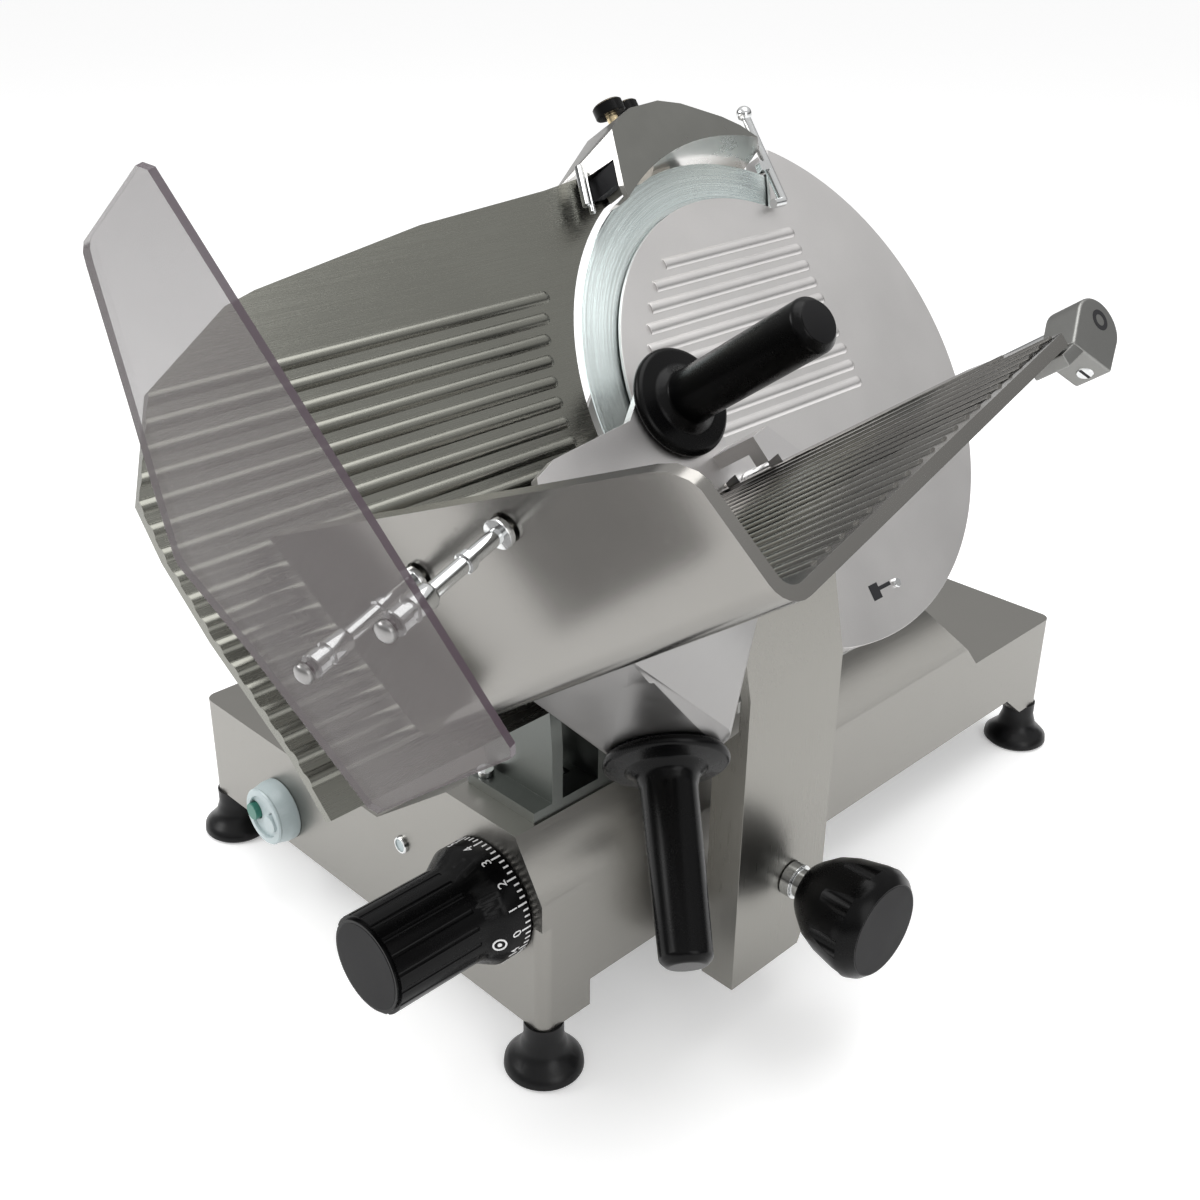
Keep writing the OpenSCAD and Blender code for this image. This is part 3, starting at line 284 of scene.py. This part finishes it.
# %% Plastics, rubber and stone
def moulded(name, colour, rough, grain=1.2, deep=0.02, gloss=0.5):
    """A moulded surface: gloss is the strength of its mirror image, deep the height of its grain."""
    material, shader, place = finish_of(name, Specular_IOR_Level=gloss)
    fine = noise(place, grain, 3.0, 0.6)
    haze = noise(place, 0.03, 3.0)
    tone = haze * 0.3 + fine * 0.1 + 0.8
    shade = tone.node("VectorMath", {"operation": "SCALE"}, _0=colour, Scale=tone)
    wire(shader, Base_Color=shade, Normal=bump(fine, deep),
         Roughness=haze * 0.16 + fine * 0.08 + (rough - 0.12))
    return material


black_skin = moulded("grip_black", (0.0015, 0.0015, 0.0017), 0.27, gloss=0.13)
# Painted shade: this near-black finish goes on thin solids where holes, slots and pockets would be in
# shade.
painted_shade_skin = moulded("painted_recess_shade", (0.02, 0.02, 0.022), 0.6, gloss=0.2)
satin_skin = moulded("grip_end", (0.010, 0.0098, 0.0105), 0.5, gloss=0.12)
rubber_skin = moulded("foot_rubber", (0.003, 0.003, 0.0035), 0.34, grain=0.8, deep=0.04, gloss=0.26)
pale_skin = moulded("switch_pale", (0.42, 0.49, 0.50), 0.35)
green_skin = moulded("button_green", (0.03, 0.16, 0.12), 0.30)
white_skin = moulded("dial_ink", (0.78, 0.78, 0.78), 0.5)
stone_skin = moulded("stone_grit", (0.62, 0.58, 0.52), 0.85, grain=3.0, deep=0.5)
belt_skin = moulded("belt_rubber", (0.02, 0.02, 0.02), 0.7, grain=2.0, deep=0.2)
print("materials so far, with the CAD's own:", len(bpy.data.materials))

# %% [markdown]
# The hand guard is smoked acrylic. True glass needs many more samples to show the machine behind it
# without grain, so the sheet is see-through by alpha instead. Light gathers in the cut edges of
# acrylic: there the sheet looks denser and a little purple. Wiping leaves faint streaks on its face.

# %% The clear guard's finish
FRONT_RIGHT = (0.65, -0.62, 0.44)


def smoked(name, colour, alpha, rough):
    """A thin tinted sheet that shows what is behind it, darker at the edges that face the front."""
    material, shader, place = finish_of(name, Specular_IOR_Level=0.6, IOR=1.49)
    facing = along(place.node("TexCoord", out=1), WALL.to_3x3().col[0])
    outward = along(place.node("TexCoord", out=1), FRONT_RIGHT)
    rim = (1 - (facing * facing).between(0.2, 0.8)) * outward.between(-0.05, 0.15)
    wipe = noise(stretched(place, WALL, 1.0, 0.05, 0.6), 1.0, 3.0, 0.6)
    haze = noise(place, 0.02, 3.0)
    tone = haze * 0.16 + wipe * 0.08 + 0.88
    shade = tone.node("VectorMath", {"operation": "SCALE"}, _0=colour, Scale=tone)
    wire(shader, Base_Color=rim.mix(shade, (0.075, 0.055, 0.068)),
         Alpha=rim * 0.45 + wipe * 0.04 + haze * 0.05 + (alpha - 0.045),
         Roughness=wipe * 0.06 + haze * 0.04 + (rough - 0.05))
    return material


guard_skin = smoked("guard_smoked", (0.105, 0.088, 0.088), 0.46, 0.06)
print("guard finish:", guard_skin.name)

# %% [markdown]
# The record names a material slot for every node. One table turns a slot into a finish, and a second
# one names the pieces whose surface differs from the rest of their slot, such as the grey castings.

# %% Which piece gets which finish
SLOT_SKIN = {
    "anodised_aluminium": base_skin, "cast_aluminium": cast_skin, "tray_aluminium": tray_skin,
    "blade_steel": blade_skin, "plain_steel": steel_skin, "black_plastic": black_skin,
    "rubber": rubber_skin, "brass": brass_skin, "clear_guard": guard_skin,
    "pale_plastic": pale_skin, "green_plastic": green_skin, "stone": stone_skin, "belt": belt_skin,
}
NODE_SKIN = {
    "gauge_plate": gauge_skin, "blade_cover": cover_skin, "carriage_arm": arm_skin,
    "handle_bracket": bright_cast, "carriage_foot": bright_cast, "ring_guard": guard_ring_skin,
    "guard_screws": bright_cast, "sharpener_housing": sharpener_skin, "pusher_plate": guard_ring_skin,
    # The post, the slide and the slide block take the casting with painted shade.
    "rod_block": cast_skin, "pusher_collar": steel_skin, "gauge_post": shaded_cast,
    "gauge_slide": shaded_cast, "slide_block": shaded_cast, "sharpener_latch": steel_skin,
    "guard_standoffs": steel_skin, "belt_cover": cover_skin,
}
for node, piece in frame["nodes"].items():
    piece.data.materials.clear()
    piece.data.materials.append(NODE_SKIN.get(node, SLOT_SKIN[slot_of_node[node]]))
print("pieces with a finish of their own:", len(NODE_SKIN))

# %% [markdown]
# No real edge is perfectly sharp: cast edges are rounded, sheet edges are filed, and each one
# catches a line of light. CAD edges don't. A copy of a node's mesh gets its flat areas merged into
# single faces and a Bevel that works only on edges over a set angle, and then takes the node's place.
# The bevel is a modifier and isn't cut by hand, so that its width stays one number for each piece.

# %% Softened copies of CAD pieces
EDGE_ANGLE, BRACKET_ANGLE, FLAT_ANGLE = 32, 24, 0.6
WELD = 2e-6


def settle(piece, like):
    """The piece rides, is finished and stands in for a CAD node."""
    piece.data.materials.clear()
    piece.data.materials.append(NODE_SKIN.get(like, SLOT_SKIN[slot_of_node[like]]))
    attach(piece, body_of_node[like])
    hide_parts(like)


def new_piece(name, mesh):
    """A mesh put in the scene as an object."""
    piece = bpy.data.objects.new(name, mesh)
    bpy.context.scene.collection.objects.link(piece)
    return piece


def as_piece(name, form):
    """Ends the work on a mesh and puts it in the scene."""
    mesh = bpy.data.meshes.new(name)
    form.to_mesh(mesh)
    form.free()
    return new_piece(name, mesh)


def merged(mesh):
    """A mesh opened for work, with its double points welded and its flat areas merged."""
    form = bmesh.new()
    form.from_mesh(mesh)
    bmesh.ops.remove_doubles(form, verts=form.verts, dist=WELD)
    bmesh.ops.dissolve_limit(form, angle_limit=radians(FLAT_ANGLE), verts=form.verts, edges=form.edges)
    return form


def round_edges(piece, width, steps=2, angle=EDGE_ANGLE):
    """Smooth faces, a bevel on the edges over the angle, and normals that keep flat faces flat."""
    for face in piece.data.polygons:
        face.use_smooth = True
    if width:
        edge = piece.modifiers.new("edges", "BEVEL")
        edge.width, edge.segments, edge.limit_method = width * MM, steps, "ANGLE"
        edge.angle_limit = radians(angle)
        edge.miter_outer = "MITER_ARC"
        edge.use_clamp_overlap = True
        level = piece.modifiers.new("flats", "WEIGHTED_NORMAL")
        level.mode, level.weight, level.keep_sharp = "FACE_AREA", 100, False
    else:
        piece.data.set_sharp_from_angle(angle=radians(angle))
    return piece


def soften(node, width, angle=EDGE_ANGLE):
    """A copy of a node with its flat areas merged and its edges rounded, in the node's place."""
    piece = as_piece(node + "_soft", merged(frame["nodes"][node].data))
    settle(round_edges(piece, width, angle=angle), node)


EDGES = {
    "base": 1.6, "gauge_plate": 0.8, "tray": 1.4, "carriage_arm": 1.2, "blade_cover": 0.7,
    "ring_guard": 0.8, "handle_bracket": 3.0, "pusher_plate": 1.0, "blade_support": 1.2,
    "belt_cover": 1.0, "gauge_post": 1.0, "gauge_slide": 0.8, "slide_block": 0.8,
    "carriage_foot": 1.0, "dial": 0.6, "lock_knob": 1.6, "switch_body": 0.8, "start_button": 0.5,
    "stop_button": 0.5, "pilot_lamp": 0.3, "carriage_handle": 1.2, "pusher_handle": 1.2,
    "pusher_collar": 0.5, "pusher_rod": 0.5, "lock_stud": 0.5, "sharpen_button": 0.6,
    "hone_button": 0.6, "cover_knob": 1.0, "motor": 1.0, "cable_gland": 0.6,
    "support_bolts": 0.4, "tray_screws": 0.4, "gauge_bolts": 0.4, "bottom_cover": 0.5,
    "feet": 0.0, "blade": 0.0,
}
for node, width in EDGES.items():
    soften(node, width, BRACKET_ANGLE if node == "handle_bracket" else EDGE_ANGLE)
print("softened pieces:", len(EDGES))

# %% [markdown]
# The CAD keeps to plain solids. What hands and eyes also meet on the machine is added from here on,
# each as a small mesh in the frame of the piece that carries it. Most of these pieces are turned in
# the factory, so the first tool spins an outline round an axis. Blender's Screw modifier can do that
# too, but a loop that works out the points puts the piece straight in its leaning frame.

# %% Turned pieces
def from_points(name, points, faces):
    """A piece from points and faces, with its seam merged and its normals turned outwards."""
    mesh = bpy.data.meshes.new(name)
    mesh.from_pydata(points, [], faces)
    form = bmesh.new()
    form.from_mesh(mesh)
    bmesh.ops.remove_doubles(form, verts=form.verts, dist=1e-6)
    bmesh.ops.recalc_face_normals(form, faces=form.faces)
    return as_piece(name, form)


def lathe(name, base, profile, steps=64):
    """Turns (radius, height) points in millimetres round the z axis of a frame."""
    points, faces = [], []
    for i in range(steps):
        a = 2 * pi * i / steps
        points += [base @ Vector((r * cos(a) * MM, r * sin(a) * MM, z * MM)) for r, z in profile]
    n = len(profile)
    for i in range(steps):
        j = (i + 1) % steps
        faces += [(i * n + k, j * n + k, j * n + k + 1, i * n + k + 1) for k in range(n - 1)]
    return from_points(name, points, faces)


def fitted(piece, node, skin, width=0.0):
    """Finishes a small piece and fixes it to the body that a CAD node belongs to."""
    round_edges(piece, width)
    piece.data.materials.clear()
    piece.data.materials.append(skin)
    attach(piece, body_of_node[node])


print("lathe ready")

# %% [markdown]
# The dial is a black drum with white numbers and marks round its rim, and a ring with a dot on its
# shoulder. On the real dial they are printed. A mask in the shader would have to know the shape of
# every numeral, so each mark is a thin solid that stands 0.15 mm proud of the drum. It stays crisp at
# any size, and it turns with the dial.

# %% The dial's numbers and marks
FRONT = -271.5
DIAL = at(MACHINE, 131, FRONT, 111) @ turn(90, "X")
DIAL_R, NUMBERS, MARKS = 36, 15, 60
LONG_MARK, SHORT_MARK, MARK_START = 6.4, 3.6, 1.4
marks = bmesh.new()
for i in range(MARKS):
    length = SHORT_MARK if i % (MARKS // NUMBERS) else LONG_MARK
    bar = bmesh.ops.create_cube(marks, size=MM)["verts"]
    bmesh.ops.scale(marks, vec=(0.3, 1.05, length), verts=bar)
    spot = at(DIAL @ turn(360 / MARKS * i, "Z"), DIAL_R, 0, MARK_START + length / 2)
    bmesh.ops.transform(marks, matrix=spot, verts=bar)
for i in range(NUMBERS):
    curve = bpy.data.curves.new("digit", "FONT")
    curve.body, curve.size, curve.extrude = str(i), 8.4 * MM, 0.1 * MM
    curve.align_x, curve.align_y = "CENTER", "CENTER"
    holder = bpy.data.objects.new("digit", curve)
    digit = bpy.data.meshes.new_from_object(holder)
    bpy.data.objects.remove(holder)
    spot = at(DIAL @ turn(360 / NUMBERS * i, "Z"), DIAL_R + 0.05, 0, 11.2)
    digit.transform(spot @ turn(90, "Y") @ turn(90, "Z"))
    marks.from_mesh(digit)
fitted(as_piece("dial_numbers", marks), "dial", white_skin)

SHOULDER = at(DIAL @ turn(-8, "Z"), 32.5, 0, 21) @ turn(59.7, "Y")
ring_mark = [(4.2, -0.6), (4.2, 0.35), (3.2, 0.35), (3.2, -0.6)]
dot_mark = [(0.0, 0.35), (1.3, 0.35), (1.3, -0.6)]
fitted(lathe("dial_ring_mark", SHOULDER, ring_mark, 32), "dial", white_skin)
fitted(lathe("dial_dot_mark", SHOULDER, dot_mark, 20), "dial", white_skin)
print("dial numbers:", NUMBERS, "marks:", MARKS)

# %% [markdown]
# The dial, the pusher's grip and the lock knob end in a flat face that the mould leaves duller than
# their sides. The switch sits in a pale boot with a stepped lip, and the lamp has a chromed rim. A
# second material on some faces of the CAD mesh would give the dull ends too, but a thin disc laid
# over them needs no picking of faces.

# %% End faces, the switch boot's lip and the lamp's rim
GRIP = at(TRAY, 237, 56, 26)
KNOB = at(MACHINE, 294, -116, 94) @ turn(90, "Y")
SWITCH = at(MACHINE, -85, FRONT, 61) @ turn(90, "X")
LAMP = at(MACHINE, 50, FRONT, 103) @ turn(90, "X")
dial_end = [(0, 88.25), (25.2, 88.25), (25.6, 87.9)]
grip_end = [(0, 114.2), (11.0, 114.2), (11.6, 113.9)]
knob_end = [(0, 0.25), (27.6, 0.25), (28.2, -0.2)]
boot_lip = [(20.0, 13.6), (20.4, 14.8), (19.4, 16.0), (15.4, 16.2), (14.8, 15.2), (14.8, 13.6)]
lamp_rim = [(4.2, 1.2), (4.2, 2.3), (5.2, 2.3), (5.6, 1.8), (5.6, 0.2)]
fitted(lathe("dial_end_face", DIAL, dial_end), "dial", satin_skin)
fitted(lathe("pusher_grip_end", GRIP, grip_end), "pusher_handle", satin_skin)
fitted(lathe("lock_knob_end", KNOB, knob_end), "lock_knob", satin_skin)
fitted(lathe("switch_boot_lip", SWITCH, boot_lip), "switch_body", pale_skin, width=0.3)
fitted(lathe("lamp_rim", LAMP, lamp_rim, 40), "pilot_lamp", steel_skin)
print("small round pieces on")

# %% [markdown]
# Castings are not turned. Their forms come from flat outlines: a prism is one outline made thick, and
# a hull is the tight skin round several outlines, which gives the slanted walls of a mould. Rooms for
# other pieces are then cut away with Boolean modifiers, which are applied at once, so that the piece
# holds a plain mesh.

# %% Tools for cast forms
def square(x0, y0, x1, y1):
    """The corners of a rectangle between two opposite ones."""
    return [(x0, y0), (x1, y0), (x1, y1), (x0, y1)]


def arc_of(radius, start, stop, steps=24, x=0.0, y=0.0):
    """Points along an arc, between two angles in degrees."""
    angles = [radians(start + (stop - start) * i / steps) for i in range(steps + 1)]
    return [(x + radius * cos(a), y + radius * sin(a)) for a in angles]


def prism(name, base, outlines, low, high):
    """Flat shapes given in millimetres in a frame, made solid between two heights."""
    points, faces = [], []
    for outline in outlines:
        n, k = len(outline), len(points)
        points += [base @ Vector((x * MM, y * MM, z * MM)) for z in (low, high) for x, y in outline]
        faces += [tuple(k + i for i in reversed(range(n))), tuple(k + n + i for i in range(n))]
        faces += [(k + i, k + (i + 1) % n, k + n + (i + 1) % n, k + n + i) for i in range(n)]
    return from_points(name, points, faces)


def hull(name, base, slices):
    """The tight skin round outlines given in millimetres, each with its height."""
    form = bmesh.new()
    for outline, z in slices:
        for x, y in outline:
            form.verts.new(base @ Vector((x * MM, y * MM, z * MM)))
    bmesh.ops.convex_hull(form, input=form.verts)
    loose = [v for v in form.verts if not v.link_faces]
    bmesh.ops.delete(form, geom=loose, context="VERTS")
    bmesh.ops.dissolve_limit(form, angle_limit=radians(1), verts=form.verts, edges=form.edges)
    return as_piece(name, form)


def carve(piece, cutters):
    """Cuts other pieces out of this one for good, and removes them."""
    for cutter in cutters:
        step = piece.modifiers.new("cut", "BOOLEAN")
        step.operation, step.object, step.solver = "DIFFERENCE", cutter, "EXACT"
    graph = bpy.context.evaluated_depsgraph_get()
    done = bpy.data.meshes.new_from_object(piece.evaluated_get(graph))
    piece.modifiers.clear()
    piece.data = done
    for cutter in cutters:
        bpy.data.objects.remove(cutter)


print("casting tools ready")

# %% [markdown]
# The sharpener's cover has a flat front, a slanted left cheek and a rounded top. Its body is the hull
# of a front and a back outline. Cut from it are the blade's room, the gauge plate's room, the rest on
# the strut that carries it, the pocket where the stones look out and the seats of the two buttons.

# %% The sharpener's cover
BLADE_ROOM = 153
SEAT_R = 10.6
front = [(-86, 134), (-76, 168), (-68, 174), (-55, 179), (-30, 181), (-12, 177), (2, 171),
         (18, 164.5), (31, 157), (41, 148), (48, 137), (48, 120), (-86, 120)]
back = [(-90, 156), (-44, 185), (-30, 189.5), (0, 190), (34, 182), (66, 170), (64, 140), (50, 120),
        (-72, 120)]
pocket_room = [(-112, 128), (-98, 153), (-76, 151), (-72, 128)]
seat = arc_of(SEAT_R, 0, 360, 48)[:-1]
stem_a = at(PLATE, -50, 0, 10) @ turn(-90, "X")
stem_b = at(PLATE, -18, 0, -8) @ turn(-90, "X")
shell = hull("sharpener_cover", PLATE, [(front, 30), (back, -22)])
carve(shell, [prism("blade_room", PLATE, [arc_of(BLADE_ROOM, 0, 360, 120)[:-1]], -60, 60),
              prism("gauge_room", PLATE, [square(-330, 0, -38, 157.4)], -60, 2),
              prism("strut_room", PLATE, [square(-20.4, 0, 20.4, 176)], -31, -18),
              prism("pocket_room", PLATE, [pocket_room], 1, 26.5),
              prism("seat_a", stem_a, [seat], 180.3, 230),
              prism("seat_b", stem_b, [seat], 186.0, 230)])
round_edges(shell, 0.9, 2, 16)
settle(shell, "sharpener_housing")
print("sharpener cover cut:", len(shell.data.polygons), "faces")

# %% [markdown]
# Inside the cover it is dark, with the ends of two bright levers that carry the stones. A thin black
# solid along the blade's room and a dark block in the pocket are painted shade that gives that depth,
# where a truly hollow casting would only show black as well.

# %% Painted shade inside the sharpener, and its levers
# Painted shade: a black band inside the blade's room and a dark block in the pocket.
room_shade_arc = arc_of(BLADE_ROOM + 0.1, 76, 118) + arc_of(BLADE_ROOM + 1.4, 118, 76)
fitted(prism("sharpener_room_shade", PLATE, [room_shade_arc], -14, 28.6), "sharpener_housing", painted_shade_skin)
pocket = [(-84, 138), (-82, 150.6), (-76, 150.6), (-76, 138)]
fitted(prism("sharpener_pocket", PLATE, [pocket], 1.5, 26), "sharpener_housing", painted_shade_skin)
lever_a = [(-103, 133), (-96, 158), (-92.5, 157), (-99.5, 132)]
lever_b = [(-95, 130), (-88, 156), (-85, 155), (-92, 129)]
for name, outline, low, high in (("stone_lever_a", lever_a, 9, 14), ("stone_lever_b", lever_b, 4, 8)):
    fitted(prism(name, PLATE, [outline], low, high), "sharpener_housing", steel_skin, 1.2)
print("sharpener inside done")

# %% [markdown]
# The pusher's rod ends at the tray's far corner in a cast block: a round boss with a flat side for a
# slotted screw, on a small foot. The CAD's block is plain, so it is shown by the hull of a circle and
# three corners. The hole and the screw are thin turned pieces laid on its faces.

# %% The rod's end block with its hole and slotted screw
boss = arc_of(13.6, 0, 360, 40, 253, -9.5)
block_outline = boss + [(228, -7), (242, -29), (259.9, -21.2)]
block = hull("rod_end_block", TRAY, [(block_outline, 238), (block_outline, 257)])
round_edges(block, 1.4, 3, 20)
settle(block, "rod_block")
foot = prism("rod_block_foot", TRAY, [square(217, -13.5, 237, -7.2)], 238.5, 256.5)
fitted(foot, "rod_block", cast_skin, width=0.8)
# Painted shade: a dark ring stands for the shade inside the rod's hole.
hole = [(5.0, -0.5), (5.0, 0.12), (2.8, 0.12), (2.8, -0.5)]
fitted(lathe("rod_end_hole", at(TRAY, 256, -8, 257), hole, 36), "rod_block", painted_shade_skin)
SCREW = at(TRAY, 238.6, -23.7, 247.5) @ turn(32.7, "Z") @ turn(-90, "Y")
screw_head = [(0, 0.35), (3.4, 0.35), (3.9, -0.1), (3.9, -1.0)]
fitted(lathe("rod_screw_head", SCREW, screw_head, 32), "rod_block", steel_skin)
# Painted shade: a thin dark solid stands for the shade in the screw's slot.
screw_slot = prism("rod_screw_slot", SCREW, [square(-0.7, -3.3, 0.7, 3.3)], 0.2, 0.45)
fitted(screw_slot, "rod_block", painted_shade_skin)
print("rod block on")

# %% [markdown]
# Low on the round cover is a small dark slot with a bright peg at its end. A Boolean cut would only
# show a few millimetres of black, so the slot's shade is painted as a thin dark solid on the face.
# The peg is turned.

# %% The slot in the round cover
# Painted shade: the slot is a thin dark solid laid on the cover, not a cut.
slot_shapes = [square(-6, -145, 2.5, -135), square(2.5, -140.5, 14, -138)]
fitted(prism("cover_slot", PLATE, slot_shapes, 3.2, 3.62), "blade_cover", painted_shade_skin)
peg = [(0, 5.4), (2.6, 5.4), (3.2, 4.8), (3.2, 3.0)]
fitted(lathe("cover_peg", at(PLATE, 19, -141, 0), peg, 28), "blade_cover", steel_skin)
print("cover slot on")

# %% [markdown]
# The stones' levers are pulled back by a small coiled spring. A spring is a wire bent along a helix,
# so a curve with a round bevel draws it from the helix's points, and is turned into a mesh at once.

# %% The sharpener's spring
def wire_form(name, path, radius):
    """A round wire along points given in metres."""
    curve = bpy.data.curves.new(name, "CURVE")
    curve.dimensions, curve.bevel_depth, curve.bevel_resolution = "3D", radius * MM, 3
    line = curve.splines.new("POLY")
    line.points.add(len(path) - 1)
    for point, spot in zip(line.points, path):
        point.co = (*spot, 1)
    curve.use_fill_caps = True
    holder = bpy.data.objects.new(name, curve)
    form = bmesh.new()
    form.from_mesh(bpy.data.meshes.new_from_object(holder))
    bpy.data.objects.remove(holder)
    return as_piece(name, form)


SPRING = at(PLATE, -70, 153, 12)
COIL_R, COIL_STEP, COIL_POINTS = 2.6, 0.9, 110
coil = [at(SPRING, 0.13 * i, 0.115 * i + COIL_R * cos(COIL_STEP * i), COIL_R * sin(COIL_STEP * i))
        for i in range(COIL_POINTS)]
spring = wire_form("sharpener_spring", [spot.translation for spot in coil], 0.7)
fitted(spring, "sharpener_housing", steel_skin)
print("spring points:", len(coil))

# %% [markdown]
# The clear guard is a thin sheet on two slender chromed posts. Each post has a sleeve and a groove
# next to the sheet, a nut, and a small domed screw outside. The CAD's sheet is thicker than it looks
# in the photograph, so its copy is squeezed on the axis that runs through it. That axis leans with
# the tray's wall, so the points are scaled in the wall's own frame and not by the object's scale.

# %% The clear guard and its posts
SHEET_SHARE, SHEET_SHIFT = 0.66, -24.8
sheet = merged(frame["nodes"]["hand_guard"].data)
squeeze = at(Matrix.Identity(4), SHEET_SHIFT, 0, 0) @ Matrix.Diagonal((SHEET_SHARE, 1, 1, 1))
bmesh.ops.transform(sheet, verts=sheet.verts, space=WALL.inverted(), matrix=squeeze)
settle(round_edges(as_piece("guard_sheet", sheet), 0.35), "hand_guard")

POST_SPOTS = (87, 156)
post_profile = [(0, 0), (5.2, 0), (5.6, 0.6), (5.6, 6.0), (4.4, 6.8), (4.4, 8.6), (5.6, 9.4), (5.6, 19.0),
                (4.6, 20.6), (3.5, 21.2), (3.5, 40.0), (4.6, 40.4), (4.6, 43.6), (3.5, 44.0),
                (3.5, 60.4), (6.6, 60.8), (6.8, 61.4), (6.8, 63.6), (0, 64.0)]
head_profile = [(0, -7.4), (2.6, -7.0), (4.2, -5.9), (4.7, -5.1), (4.7, -3.2)]
for name, node, profile in (("guard_posts", "guard_standoffs", post_profile),
                            ("guard_heads", "guard_screws", head_profile)):
    both = bmesh.new()
    for z in POST_SPOTS:
        one = lathe("one", at(WALL, -71, 68, z) @ turn(90, "Y"), profile, 40)
        both.from_mesh(one.data)
        bpy.data.objects.remove(one)
    settle(round_edges(as_piece(name, both), 0), node)
print("guard on its posts")

# %% [markdown]
# The two push buttons on the sharpener carry black caps. A bevelled cylinder would do, but the lathe
# keeps the cap's two chamfers in one outline. Each cap stands a little off its seat in the cover, so
# that it has room to go down when it is pressed.

# %% Black caps on the sharpener's buttons
for name, node, stem, top in (("sharpen_cap", "sharpen_button", stem_a, 185.2),
                              ("hone_cap", "hone_button", stem_b, 190.8)):
    cap = [(0, top - 0.3), (8.6, top - 0.3), (9.3, top + 0.4), (9.3, top + 6.4), (8.2, top + 7.4),
           (0, top + 7.4)]
    fitted(lathe(name, stem, cap, 48), node, black_skin)
print("button caps on")

# %% [markdown]
# The photograph looks down at the machine from the front right corner with a normal lens. The camera
# was found from the straight edges of the base, the blade's circle and the tray.

# %% Camera
EYE = (0.5530, -0.6117, 0.6468)
AWAY = (0.6504, -0.6192, 0.4399)
camera = bpy.data.objects.new("camera", bpy.data.cameras.new("camera"))
bpy.context.scene.collection.objects.link(camera)
bpy.context.scene.camera = camera
camera.location = EYE
camera.rotation_mode = "QUATERNION"
camera.rotation_quaternion = Vector(AWAY).to_track_quat("Z", "Y")
camera.data.sensor_width = 36
camera.data.lens = 44.29
camera.data.shift_x, camera.data.shift_y = 0.0343, -0.0213
camera.data.clip_start, camera.data.clip_end = 0.01, 20
print("camera at", [round(v, 3) for v in camera.location])

# %% [markdown]
# Metal shows its surroundings more than itself, so the room matters as much as the lamps. The room
# is pale with a dark band just above the floor, which gives polished sides their dark zones, and
# large soft panels give broad highlights. The camera itself sees plain white, as in the photograph.

# %% Floor, room and lamps
FLOOR_REACH = 30
floor_mesh = bpy.data.meshes.new("floor")
floor_corners = [(x, y, 0) for x, y in square(-FLOOR_REACH, -FLOOR_REACH, FLOOR_REACH, FLOOR_REACH)]
floor_mesh.from_pydata(floor_corners, [], [(0, 1, 2, 3)])
floor = new_piece("floor", floor_mesh)
floor_skin, floor_shader, floor_place = finish_of("floor_white")
wire(floor_shader, Roughness=noise(floor_place, 0.01) * 0.1 + 0.6)
floor_shader.inputs["Base Color"].default_value = (0.92, 0.92, 0.92, 1)
floor_shader.inputs["Emission Color"].default_value = (1, 1, 1, 1)
floor_shader.inputs["Emission Strength"].default_value = 0.30
floor.data.materials.append(floor_skin)

world = bpy.data.worlds.new("room")
bpy.context.scene.world = world
world.use_nodes = True
room = Tone(world.node_tree, None)
ray = room.node("TexCoord", out=0)
height = ray.node("SeparateXYZ", out=2, Vector=ray)
tint = height.node("ValToRGB", {"stops": [(0.0, 0.85), (0.46, 0.60), (0.52, 0.16), (0.60, 0.26),
                                          (0.72, 0.86), (1.0, 1.0)]}, Fac=height * 0.5 + 0.5)
seen = room.node("LightPath", out=0)
tint = seen.mix(tint, (1.15, 1.15, 1.15))
background = world.node_tree.nodes["Background"]
world.node_tree.links.new(tint.socket, background.inputs["Color"])
background.inputs["Strength"].default_value = 0.85
bpy.context.scene.view_settings.view_transform = "Standard"


def panel(name, place, size, power, aim=(0, 0, 0.25)):
    """A soft lamp of a size in metres and a power in watts, turned towards the middle of the machine."""
    lamp = bpy.data.lights.new(name, "AREA")
    lamp.shape, lamp.size, lamp.size_y, lamp.energy = "RECTANGLE", *size, power
    holder = bpy.data.objects.new(name, lamp)
    bpy.context.scene.collection.objects.link(holder)
    holder.location = place
    holder.rotation_mode = "QUATERNION"
    holder.rotation_quaternion = (Vector(place) - Vector(aim)).to_track_quat("Z", "Y")


panel("key_left", (-1.4, -1.6, 1.7), (1.4, 1.0), 26)
panel("top", (0.1, 0.3, 2.2), (1.8, 1.4), 22)
panel("fill_right", (2.0, -0.4, 1.0), (1.0, 1.4), 10)
